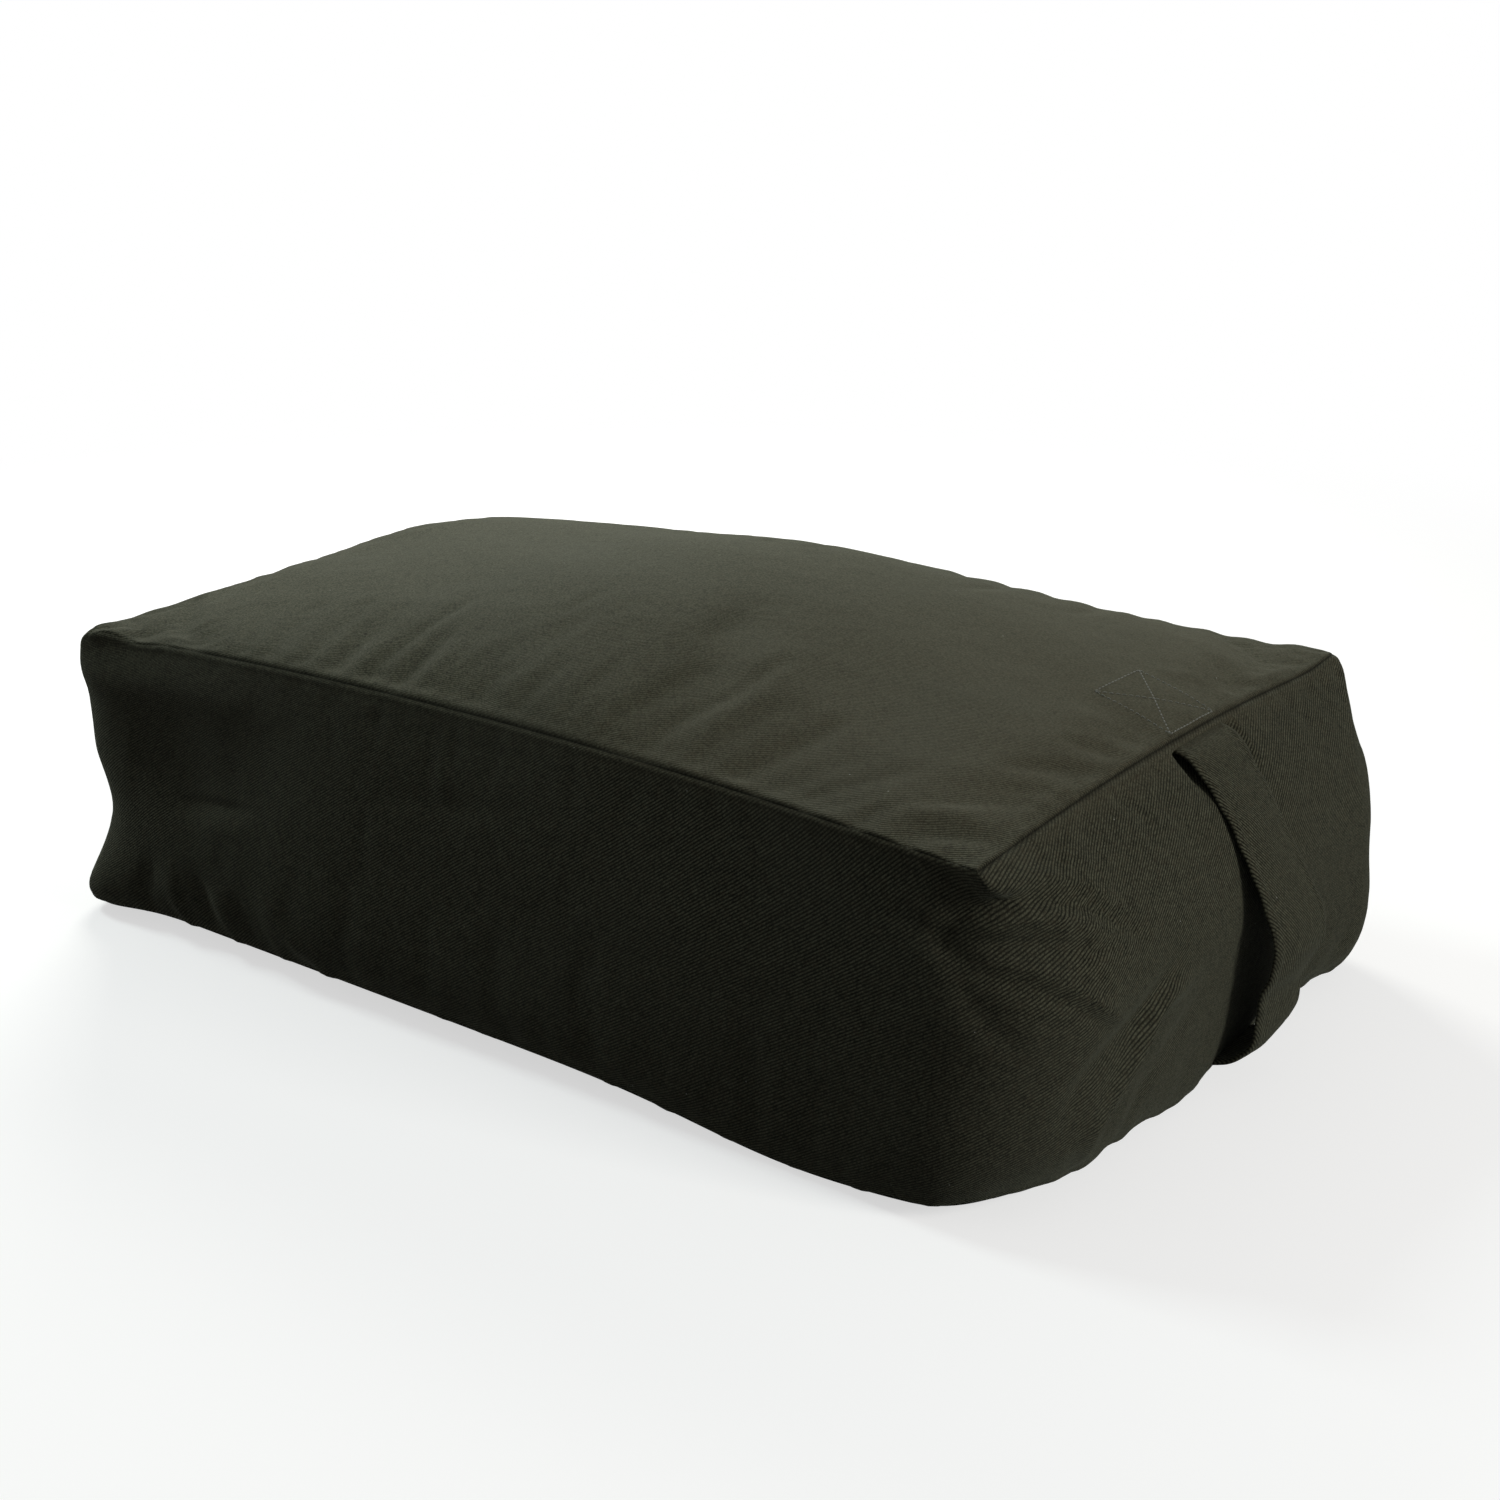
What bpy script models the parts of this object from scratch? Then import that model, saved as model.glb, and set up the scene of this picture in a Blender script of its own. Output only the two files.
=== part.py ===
"""Rectangular yoga bolster: a zipped twill cover with a carrying strap, over a stuffed cotton liner.

+X runs along the bolster to its strap end, +Y to its zip side and +Z up. The origin is the
middle of the flat face that rests on the floor. All sizes are in metres.
"""

from math import cos, pi, sin

import bmesh
import bpy
import numpy as np

# The belly is the cushion's widest outline, at mid height
BELLY_HALF_LENGTH = 0.3195
BELLY_HALF_WIDTH = 0.1905
BELLY_CORNER_RADIUS = 0.060
BELLY_HEIGHT = 0.088
BELLY_SIDE_LEAN = 0.0071
BELLY_END_LEAN = 0.0039

# The top seam joins the top panel to the boxing
TOP_SEAM_HALF_LENGTH = 0.2790
TOP_SEAM_HALF_WIDTH = 0.1837
TOP_SEAM_CORNER_HEIGHT = 0.1624
TOP_SEAM_RISE = 0.0067
TOP_SEAM_END_DRAW = 0.0020
TOP_SEAM_SIDE_DRAW = 0.0086
CORNER_EASE_SHARE = 0.55

# The bottom seam is tucked under the belly
BOTTOM_SEAM_END_TUCK = 0.0120
BOTTOM_SEAM_SIDE_TUCK = 0.0100
BOTTOM_SEAM_CORNER_RADIUS = 0.046
BOTTOM_SEAM_LIFT = 0.009
FLOOR_FACE_SHARE = 0.86

# Crown of the top panel, with the humps where the batting is packed
CROWN_HEIGHT = 0.0435
CROWN_FLATNESS = 2.2
CROWN_SHOULDER = 0.81
HUMP_HEIGHT = 0.0041
HUMP_WAVES = 1.77
HUMP_OFFSET_SHARE = 0.06
UPPER_BULGE = 1.914
LOWER_BULGE = 5.975

# Cloth, and the clearance between pieces that touch
CLOTH = 0.0012
HEM = 0.010
CLEARANCE = 0.0003

# Carrying strap: folded and stitched from the cover cloth
STRAP_WIDTH = 0.050
STRAP_THICKNESS = 0.0026
STRAP_OFF_CENTRE = 0.016
STRAP_INNER_LENGTH = 0.047
STRAP_STANDOFF = 0.0205
STRAP_SIDE_ROOM = 0.0012
STRAP_DIP_RUN = 0.008
STRAP_DIP_UPPER_SHARE = 0.30
STRAP_DIP_LOWER_SHARE = 0.15
# Height as a share of the top seam's height, and distance from the end as a share of the stand-off
STRAP_PATH_SHARES = (
    (0.955, 0.12),
    (0.88, 0.17),
    (0.79, 0.20),
    (0.686, 0.30),
    (0.586, 0.58),
    (0.515, 0.86),
    (0.456, 1.00),
    (0.39, 0.93),
    (0.331, 0.76),
    (0.272, 0.71),
    (0.198, 0.785),
    (0.142, 0.79),
    (0.102, 0.60),
)

# Zip: a moulded chain on two tapes, let into the zip side at belly height
ZIP_PANEL_INSET = 0.0135
ZIP_SLOT_INSET = 0.031
ZIP_SLOT_WIDTH = 0.012
ZIP_SLOT_END = 0.006
TAPE_WIDTH = 0.012
TAPE_THICKNESS = 0.0006
CHAIN_WIDTH = 0.006
CHAIN_THICKNESS = 0.0026
TOOTH_PITCH = 0.0032
TOOTH_TIP_WIDTH = 0.00136
TOOTH_ROOT_WIDTH = 0.00116
TOOTH_REACH = 0.0008
TAPE_BITE = 0.0009
STOP_LENGTH = 0.0030

# Slider and pull tab
SLIDER_LENGTH = 0.011
SLIDER_NOSE_WIDTH = 0.0098
SLIDER_PLATE = 0.0010
SLIDER_FLANGE = 0.0008
BRIDGE_LENGTH = 0.0034
BRIDGE_WIDTH = 0.0018
BAIL_SPAN = 0.0064
BAIL_WIRE = 0.0010
BAIL_WIDTH = 0.0024
BAIL_ROOM = 0.0028
BAIL_ARC_STEPS = 8
PULL_LENGTH = 0.028
PULL_WIDTH = 0.0070
PULL_TIP_WIDTH = 0.0056
PULL_THICKNESS = 0.0012
PULL_WINDOW_LENGTH = 0.0042
PULL_WINDOW_WIDTH = 0.0032
PULL_GRIP_LENGTH = 0.012
PULL_GRIP_WIDTH = 0.0026

# Liner and batting inside the cover
LINER_CLOTH = 0.0010
LINER_SIDE_DEPTH = 0.0034
LINER_CROWN_DEPTH = 0.0021
LINER_ZIP_DIP = 0.0045
LINER_CORNER_ROOM = 0.0025
LINER_CORNER_SHARE = 0.80
LINER_DIP_MARGIN = 0.003
LINER_DIP_RUN = 0.022
LINER_DIP_SIDE_SHARE = 0.55
BATT_COUNT = 5
BATT_INSET = 0.013
BATT_ROOM = 0.0025
BATT_RIM_ROOM = 0.0065

# How finely the soft surfaces are divided
NORMAL_STEP_SHARE = 0.001
SEAM_STEP_SHARE = 0.03
LENGTH_CELLS = 18
WIDTH_CELLS = 10
EDGE_CROWDING = 0.86
SIDE_ROW_SHARES = (-1.0, -0.93, -0.80, -0.50, -0.19, 0.0, 0.19, 0.42, 0.66, 0.88, 1.0)
SIDE_HEM_SHARE = 0.87
FOLD_HEM_SHARE = 0.20
LINER_LENGTH_SHARES = (-1.0, -0.86, -0.64, -0.38, -0.12, 0.14, 0.40, 0.60, 1.0)
LINER_WIDTH_SHARES = (-1.0, -0.84, -0.56, 0.60, 0.84, 1.0)
LINER_ROW_SHARES = (-1.0, -0.82, -0.40, 0.0, 0.40, 0.74, 1.0)
BATT_LENGTH_SHARES = (-1.0, -0.80, -0.40, 0.0, 0.40, 1.0)
BATT_WIDTH_SHARES = (-1.0, -0.75, 0.75, 1.0)
LEAST_CELL_SHARE = 0.03
STRAP_STATIONS = 40
STRAP_SEWN_STATIONS = 5
STRAP_ACROSS_SHARES = (-1.0, -0.94, 0.0, 0.94, 1.0)
STRAP_EDGE_SHARES = (0.45, 1.0, 1.0, 1.0, 0.45)

# Sizes that follow from those above
TOP_SEAM_HEIGHT = TOP_SEAM_CORNER_HEIGHT + TOP_SEAM_RISE
UPPER_REACH = TOP_SEAM_CORNER_HEIGHT - BELLY_HEIGHT
LOWER_REACH = BELLY_HEIGHT - BOTTOM_SEAM_LIFT
STRAP_SEWN_DEPTH = 2 * CLOTH + CLEARANCE + STRAP_THICKNESS / 2
STRAP_DIP = 2 * CLOTH + STRAP_THICKNESS + 4 * CLEARANCE
TAPE_DEPTH = 2 * CLOTH + CLEARANCE
CHAIN_DEPTH = TAPE_DEPTH + TAPE_THICKNESS / 2
ZIP_TILT = np.arctan2(BELLY_SIDE_LEAN, LOWER_REACH)
ZIP_PANEL_HALF_LENGTH = BELLY_HALF_LENGTH - BELLY_CORNER_RADIUS - ZIP_PANEL_INSET
ZIP_SLOT_HALF_LENGTH = ZIP_PANEL_HALF_LENGTH - ZIP_SLOT_INSET
SLIDER_NOSE = ZIP_SLOT_HALF_LENGTH - STOP_LENGTH - 2 * CLEARANCE
SLIDER_TAIL = SLIDER_NOSE - SLIDER_LENGTH
BRIDGE_TAIL = SLIDER_NOSE - BRIDGE_LENGTH
CHAIN_START = STOP_LENGTH + CLEARANCE - ZIP_SLOT_HALF_LENGTH
PLATE_GAP = CHAIN_THICKNESS / 2 + CLEARANCE
PLATE_FACE = PLATE_GAP + SLIDER_PLATE


# Surfaces of the stuffed cushion


def rounded_outline(u, v, half_length, half_width, radius):
    """Push the square's edge point (u, v) out to a rectangle with round corners."""
    x = half_length * u
    y = half_width * v
    core_x = np.clip(x, radius - half_length, half_length - radius)
    core_y = np.clip(y, radius - half_width, half_width - radius)
    reach = np.maximum(np.hypot(x - core_x, y - core_y), CLEARANCE)
    return core_x + radius * (x - core_x) / reach, core_y + radius * (y - core_y) / reach


def top_seam_half_sizes(u, v):
    """Half length and half width of the top seam, whose sides are drawn in between the corners."""
    half_length = TOP_SEAM_HALF_LENGTH - TOP_SEAM_END_DRAW * (1 - v**2)
    half_width = TOP_SEAM_HALF_WIDTH - TOP_SEAM_SIDE_DRAW * (1 - u**2)
    return half_length, half_width


def top_seam_height(u, v):
    """The seam rides higher between the corners than at them."""
    corner = np.minimum(np.abs(u), np.abs(v))
    return TOP_SEAM_CORNER_HEIGHT + TOP_SEAM_RISE * (1 - corner**2)


def bottom_seam_outline(u, v):
    half_length = BELLY_HALF_LENGTH - BELLY_END_LEAN - BOTTOM_SEAM_END_TUCK
    half_width = BELLY_HALF_WIDTH + BELLY_SIDE_LEAN - BOTTOM_SEAM_SIDE_TUCK
    return rounded_outline(u, v, half_length, half_width, BOTTOM_SEAM_CORNER_RADIUS)


def top_form(u, v):
    """Top panel: a crown that falls to the seam, with two shallow humps along its length."""
    half_length, half_width = top_seam_half_sizes(u, v)
    far = np.maximum(np.abs(u), np.abs(v))
    fall = (1 - np.abs(u) ** CROWN_FLATNESS) * (1 - np.abs(v) ** CROWN_FLATNESS)
    corner = np.minimum(np.abs(u), np.abs(v))
    z = TOP_SEAM_CORNER_HEIGHT + TOP_SEAM_RISE * (1 - corner**2) * far**4
    z = z + CROWN_HEIGHT * np.maximum(fall, 0) ** CROWN_SHOULDER
    humps = np.cos(pi * (u - HUMP_OFFSET_SHARE) * HUMP_WAVES)
    z = z + HUMP_HEIGHT * humps * (1 - u**2) * (1 - v**2)
    return np.stack([u * half_length, v * half_width, z], -1)


def bottom_form(u, v):
    """Bottom panel: flat where it rests, curling up to its seam."""
    far = np.maximum(np.maximum(np.abs(u), np.abs(v)), CLEARANCE)
    edge_x, edge_y = bottom_seam_outline(u / far, v / far)
    curl = np.clip((far - FLOOR_FACE_SHARE) / (1 - FLOOR_FACE_SHARE), 0, 1)
    return np.stack([edge_x * far, edge_y * far, BOTTOM_SEAM_LIFT * curl**1.5], -1)


def side_form(u, v, w):
    """Boxing: (u, v) runs round the square's edge, and w from the bottom seam to the top seam.

    Its corners are sharp at the top seam and ease to the belly's radius below it.
    """
    high = w >= 0
    ease = np.clip((1 - w) / CORNER_EASE_SHARE, 0, 1)
    corner = BELLY_CORNER_RADIUS * ease**2 * (3 - 2 * ease)
    top_x, top_y = rounded_outline(u, v, *top_seam_half_sizes(u, v), corner)
    bottom_x, bottom_y = bottom_seam_outline(u, v)
    belly_x, belly_y = rounded_outline(
        u, v, BELLY_HALF_LENGTH + BELLY_END_LEAN * w, BELLY_HALF_WIDTH - BELLY_SIDE_LEAN * w, BELLY_CORNER_RADIUS
    )
    size = np.abs(w)
    pull = np.where(high, size**UPPER_BULGE, size**LOWER_BULGE)
    x = belly_x * (1 - pull) + np.where(high, top_x, bottom_x) * pull
    y = belly_y * (1 - pull) + np.where(high, top_y, bottom_y) * pull
    reach = np.where(high, top_seam_height(u, v) - BELLY_HEIGHT, BELLY_HEIGHT - BOTTOM_SEAM_LIFT)
    return np.stack(np.broadcast_arrays(x, y, BELLY_HEIGHT + reach * w), -1)


def unit(vectors):
    """Scale each vector to length one."""
    return vectors / np.linalg.norm(vectors, axis=-1, keepdims=True)


def panel_normals(form, u, v):
    """Normals of a panel's form, upwards."""
    along = form(u + NORMAL_STEP_SHARE, v) - form(u - NORMAL_STEP_SHARE, v)
    across = form(u, v + NORMAL_STEP_SHARE) - form(u, v - NORMAL_STEP_SHARE)
    return unit(np.cross(along, across))


def side_normals(u, v, w):
    """Outward normals of the boxing's form, on a route that runs round the square's edge."""
    turn_u = np.gradient(u)
    turn_v = np.gradient(v)
    length = np.hypot(turn_u, turn_v) / NORMAL_STEP_SHARE
    turn_u = turn_u / length
    turn_v = turn_v / length
    along = side_form(u + turn_u, v + turn_v, w) - side_form(u - turn_u, v - turn_v, w)
    upwards = side_form(u, v, w + NORMAL_STEP_SHARE) - side_form(u, v, w - NORMAL_STEP_SHARE)
    return unit(np.cross(along, upwards))


def seam_inward(u, v, upper):
    """Direction that halves the angle inside a seam, long enough to keep a full depth on both sides."""
    panel = top_form if upper else bottom_form
    level = np.full_like(u, 1.0 if upper else -1.0)
    seam = side_form(u, v, level)
    back = 1 - SEAM_STEP_SHARE
    along_panel = unit(panel(u * back, v * back) - seam)
    along_side = unit(side_form(u, v, level * back) - seam)
    middle = unit(along_panel + along_side)
    sine = np.sqrt(np.maximum(1 - np.sum(middle * along_side, -1, keepdims=True) ** 2, 0.25))
    return middle / sine


# Stations along the sides of the square


def edge_crowded(cells):
    """Shares from -1 to 1, closer together towards both ends."""
    turn = np.linspace(-1, 1, cells + 1) * EDGE_CROWDING * pi / 2
    return np.sin(turn) / sin(EDGE_CROWDING * pi / 2)


def panel_stations(cells, half_size):
    """Stations across a panel, with one at the hem on each side."""
    hem = 1 - HEM / half_size
    return np.concatenate([[-1.0], edge_crowded(cells) * hem, [1.0]])


def strap_stations(margin):
    """Shares of the end's width at the strap's two edges, and past them by a margin."""
    near = (STRAP_OFF_CENTRE - STRAP_WIDTH / 2 - margin) / TOP_SEAM_HALF_WIDTH
    far = (STRAP_OFF_CENTRE + STRAP_WIDTH / 2 + margin) / TOP_SEAM_HALF_WIDTH
    return near, far


def merged(stations, extra, least):
    """Add the extra stations, and drop the others that lie too near to one of them."""
    kept = [s for s in stations if min(abs(s - e) for e in extra) > least or abs(s) == 1]
    return np.array(sorted(kept + list(extra)))


def strap_window(y, margin, run):
    """One over the strap's width and its margin, falling to zero over the run past it."""
    past = np.abs(y - STRAP_OFF_CENTRE) - STRAP_WIDTH / 2 - margin
    return np.clip(1 - past / run, 0, 1)


# Meshes, materials and solids


def material(name, colour, roughness, metallic=0.0):
    made = bpy.data.materials.get(name) or bpy.data.materials.new(name)
    made.use_nodes = True
    shader = made.node_tree.nodes["Principled BSDF"]
    shader.inputs["Base Color"].default_value = (*colour, 1.0)
    shader.inputs["Roughness"].default_value = roughness
    shader.inputs["Metallic"].default_value = metallic
    made.diffuse_color = (*colour, 1.0)
    return made


def cover_twill():
    return material("cover_twill", (0.044, 0.046, 0.033), 0.9)


def liner_cotton():
    return material("liner_cotton", (0.68, 0.63, 0.52), 0.95)


def batting_cotton():
    return material("batting_cotton", (0.80, 0.77, 0.69), 1.0)


def zip_cloth():
    return material("zip_cloth", (0.012, 0.012, 0.012), 0.85)


def zip_plastic():
    return material("zip_plastic", (0.016, 0.016, 0.015), 0.4)


def zip_metal():
    return material("zip_metal", (0.09, 0.09, 0.085), 0.35, 1.0)


def place(name, mesh, finish, origin=(0.0, 0.0, 0.0), smooth=True):
    """Put a mesh in the scene as a named object, with its origin moved to the given point."""
    for vertex in mesh.vertices:
        vertex.co = [a - b for a, b in zip(vertex.co, origin)]
    mesh.materials.append(finish)
    if smooth:
        mesh.shade_smooth()
        mesh.set_sharp_from_angle(angle=pi / 5)
    piece = bpy.data.objects.new(name, mesh)
    piece.location = origin
    bpy.context.scene.collection.objects.link(piece)
    return piece


def mesh_of(name, points, faces):
    """Mesh of the points and faces, with every face turned outwards."""
    mesh = bpy.data.meshes.new(name)
    mesh.from_pydata([tuple(map(float, p)) for p in points], [], faces)
    shape = bmesh.new()
    shape.from_mesh(mesh)
    bmesh.ops.recalc_face_normals(shape, faces=shape.faces)
    if shape.calc_volume(signed=True) < 0:
        bmesh.ops.reverse_faces(shape, faces=shape.faces)
    shape.to_mesh(mesh)
    shape.free()
    return mesh


def sheet(name, outer, inner, ring=False):
    """Closed sheet of triangles between two grids of points, which run round to their start where ring is set."""
    rows, columns = outer.shape[:2]
    points = np.concatenate([outer.reshape(-1, 3), inner.reshape(-1, 3)])
    back = rows * columns
    steps = columns if ring else columns - 1
    corners = []
    for i in range(rows - 1):
        for j in range(steps):
            k = (j + 1) % columns
            a, b, c, d = i * columns + j, i * columns + k, (i + 1) * columns + k, (i + 1) * columns + j
            corners.append((a, b, c, d))
            corners.append((back + a, back + d, back + c, back + b))
    for j in range(steps):
        k = (j + 1) % columns
        last = (rows - 1) * columns
        corners.append((k, j, back + j, back + k))
        corners.append((last + j, last + k, back + last + k, back + last + j))
    if not ring:
        for i in range(rows - 1):
            a, b = i * columns, (i + 1) * columns
            corners.append((a, b, back + b, back + a))
            a, b = a + columns - 1, b + columns - 1
            corners.append((back + b, b, a, back + a))
    return mesh_of(name, points, [face for a, b, c, d in corners for face in ((a, b, c), (a, c, d))])


def prism(name, outline, low, high, axis):
    """Solid that carries an outline along one axis; the outline's pairs are the other two axes in order."""
    count = len(outline)
    points = [np.insert(np.array(p, float), axis, level) for level in (low, high) for p in outline]
    faces = [tuple(range(count)), tuple(range(2 * count - 1, count - 1, -1))]
    faces += [(i, (i + 1) % count, count + (i + 1) % count, count + i) for i in range(count)]
    return mesh_of(name, points, faces)


def combined(name, first, others, operation):
    """Join or cut closed meshes into one solid with the exact boolean."""
    base = bpy.data.objects.new(name, first)
    bpy.context.scene.collection.objects.link(base)
    tools = []
    for number, other in enumerate(others):
        tool = bpy.data.objects.new(f"{name}_tool_{number}", other)
        bpy.context.scene.collection.objects.link(tool)
        step = base.modifiers.new(f"step_{number}", "BOOLEAN")
        step.operation = operation
        step.solver = "EXACT"
        step.object = tool
        tools.append(tool)
    graph = bpy.context.evaluated_depsgraph_get()
    mesh = bpy.data.meshes.new_from_object(base.evaluated_get(graph))
    for spent in [base, *tools]:
        bpy.data.objects.remove(spent, do_unlink=True)
    return mesh


# Cover panels and boxing


def panel_points(form, across, along, depth, upper):
    """Grid of a panel's points, each moved inwards by its depth; the rim moves along the seam's halving line."""
    u, v = np.meshgrid(across, along)
    inward = panel_normals(form, u, v) * (-1 if upper else 1)
    rim_u = np.abs(u) >= across.max() * (1 - NORMAL_STEP_SHARE)
    rim_v = np.abs(v) >= along.max() * (1 - NORMAL_STEP_SHARE)
    rim = rim_u | rim_v
    inward[rim] = seam_inward(u[rim] / across.max(), v[rim] / along.max(), upper)
    points = form(u, v)
    return points + inward * depth(u, v, points)[..., None]


def drawn_in(stations, half_size):
    """Draw the outermost stations in by half a clearance, so that the edges of a seam stay apart."""
    return np.array(stations) * (1 - CLEARANCE / 2 / half_size)


def flush(u, v, points):
    return np.zeros_like(u)


def hemmed(u, v, points):
    """One layer of cloth, and two in the hem round the panel's edge."""
    hem_u = np.abs(u) > 1 - HEM / TOP_SEAM_HALF_LENGTH - LEAST_CELL_SHARE / 2
    hem_v = np.abs(v) > 1 - HEM / TOP_SEAM_HALF_WIDTH - LEAST_CELL_SHARE / 2
    return CLOTH * (1 + (hem_u | hem_v))


def cover_panel(name, form, upper):
    """Top or bottom panel of the cover, its edge folded under."""
    across = drawn_in(panel_stations(LENGTH_CELLS, TOP_SEAM_HALF_LENGTH), TOP_SEAM_HALF_LENGTH)
    along = drawn_in(panel_stations(WIDTH_CELLS, TOP_SEAM_HALF_WIDTH), TOP_SEAM_HALF_WIDTH)
    outer = panel_points(form, across, along, flush, upper)
    inner = panel_points(form, across, along, hemmed, upper)
    return place(name, sheet(name, outer, inner), cover_twill())


def side_points(u, v, w, depth):
    """Grid of the boxing's points, each moved inwards by its depth; w has a row for each level."""
    u, v, w = np.broadcast_arrays(u[None], v[None], w)
    points = side_form(u, v, w)
    inward = -np.stack([side_normals(u[i], v[i], w[i]) for i in range(len(w))])
    if w[-1].min() > 1 - SEAM_STEP_SHARE / 2:
        inward[-1] = seam_inward(u[-1], v[-1], True)
    if w[0].max() < SEAM_STEP_SHARE / 2 - 1:
        inward[0] = seam_inward(u[0], v[0], False)
    return points + inward * depth(u, v, w, points)[..., None]


def strap_dip(u, w, points):
    """How far the boxing lies back where the strap runs over it to the top and bottom seams."""
    upper = np.clip((w - 1 + STRAP_DIP_UPPER_SHARE) / STRAP_DIP_UPPER_SHARE, 0, 1)
    lower = np.clip((-w - 1 + STRAP_DIP_LOWER_SHARE) / STRAP_DIP_LOWER_SHARE, 0, 1)
    across = strap_window(points[..., 1], STRAP_SIDE_ROOM, STRAP_DIP_RUN)
    return STRAP_DIP * np.maximum(upper, lower) * across * (u > 1 - NORMAL_STEP_SHARE)


def boxing_route(across, far_end, strap_end, start):
    """Edge of the square from the zip panel's far seam round the far end, the front and the strap end."""
    beyond = across[(across > start + LEAST_CELL_SHARE) & (across < 1)]
    sides = len(beyond) + 1
    u = np.concatenate(
        [[-start], -beyond, -np.ones(len(far_end) - 1), across[:-1], np.ones(len(strap_end)), beyond[::-1], [start]]
    )
    v = np.concatenate([np.ones(sides), far_end[:0:-1], -np.ones(len(across) - 1), strap_end, np.ones(sides)])
    return u, v


def boxing_strip():
    """One strip round both ends and the front, hemmed along the top and bottom seams."""
    across = panel_stations(LENGTH_CELLS, TOP_SEAM_HALF_LENGTH)
    along = panel_stations(WIDTH_CELLS, TOP_SEAM_HALF_WIDTH)
    edges = strap_stations(STRAP_SIDE_ROOM) + strap_stations(STRAP_SIDE_ROOM + STRAP_DIP_RUN)
    strap_end = merged(along, edges, LEAST_CELL_SHARE)
    start = (ZIP_PANEL_HALF_LENGTH + CLEARANCE) / BELLY_HALF_LENGTH
    u, v = boxing_route(across, along, strap_end, start)
    w = drawn_in(SIDE_ROW_SHARES, UPPER_REACH)[:, None]

    def face(u, v, w, points):
        return strap_dip(u, w, points)

    def back(u, v, w, points):
        return strap_dip(u, w, points) + CLOTH * (1 + (np.abs(w) > SIDE_HEM_SHARE))

    return place(
        "boxing_strip", sheet("boxing_strip", side_points(u, v, w, face), side_points(u, v, w, back)), cover_twill()
    )


# Zip


def side_reach(u, v, side):
    """Height of the boxing above (side 1) or below (side -1) the belly."""
    return top_seam_height(u, v) - BELLY_HEIGHT if side > 0 else np.full_like(u, LOWER_REACH)


def zip_stations():
    """Stations along the zip panel, from its near seam to its far one, the way that the boxing's route runs."""
    end = ZIP_PANEL_HALF_LENGTH - CLEARANCE
    x = np.concatenate([
        [end, ZIP_SLOT_HALF_LENGTH + ZIP_SLOT_END],
        np.linspace(ZIP_SLOT_HALF_LENGTH, -ZIP_SLOT_HALF_LENGTH, LENGTH_CELLS // 2),
        [-ZIP_SLOT_HALF_LENGTH - ZIP_SLOT_END, -end],
    ])
    return x / BELLY_HALF_LENGTH


def zip_strip(name, side):
    """Strip of the zip panel above (side 1) or below (side -1) the chain, folded back along the slot."""
    u = zip_stations()
    v = np.ones_like(u)
    open_here = np.abs(u) * BELLY_HALF_LENGTH < ZIP_SLOT_HALF_LENGTH + ZIP_SLOT_END / 2
    slot = np.where(open_here, ZIP_SLOT_WIDTH / 2, CLEARANCE / 2)
    levels = drawn_in([share for share in SIDE_ROW_SHARES if share * side > 0], UPPER_REACH)
    fixed = np.repeat(levels[:, None], len(u), 1)
    edge = side * slot / side_reach(u, v, side)
    w = np.concatenate([edge[None], fixed] if side > 0 else [fixed, edge[None]])

    def face(u, v, w, points):
        return np.zeros_like(u)

    def back(u, v, w, points):
        hem = (np.abs(w) < FOLD_HEM_SHARE) | (np.abs(w) > SIDE_HEM_SHARE)
        return CLOTH * (1 + hem)

    return place(name, sheet(name, side_points(u, v, w, face), side_points(u, v, w, back)), cover_twill())


def zip_tape(name, side):
    """Tape behind a strip's folded edge; its inner edge sits in the slot of its row of teeth."""
    u = zip_stations()[1:-1]
    v = np.ones_like(u)
    inner_edge = CHAIN_WIDTH / 2 - TAPE_BITE + CLEARANCE
    edges = np.array([inner_edge, inner_edge + TAPE_WIDTH])[:, None]
    w = side * edges / side_reach(u, v, side)
    if side < 0:
        w = w[::-1]

    def face(u, v, w, points):
        return np.full_like(u, TAPE_DEPTH)

    def back(u, v, w, points):
        return np.full_like(u, TAPE_DEPTH + TAPE_THICKNESS)

    return place(name, sheet(name, side_points(u, v, w, face), side_points(u, v, w, back)), zip_cloth())


def zip_line():
    """Empty on the chain's middle line, turned so that its Y points squarely out of the zip side."""
    line = bpy.data.objects.new("zip_line", None)
    normal = np.array([cos(ZIP_TILT), sin(ZIP_TILT)])
    line.location = (0, BELLY_HALF_WIDTH - CHAIN_DEPTH * normal[0], BELLY_HEIGHT - CHAIN_DEPTH * normal[1])
    line.rotation_euler = (ZIP_TILT, 0, 0)
    bpy.context.scene.collection.objects.link(line)
    return line


def gripping_profile(inner_edge):
    """Half section across the chain from its inner edge: a bar with a slot in its back for the tape."""
    bar = CHAIN_THICKNESS / 2
    slot = TAPE_THICKNESS / 2 + CLEARANCE
    back = CHAIN_WIDTH / 2
    floor = back - TAPE_BITE
    return [(inner_edge, bar), (back, bar), (back, slot), (floor, slot), (floor, -slot), (back, -slot), (back, -bar),
            (inner_edge, -bar)]


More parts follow.
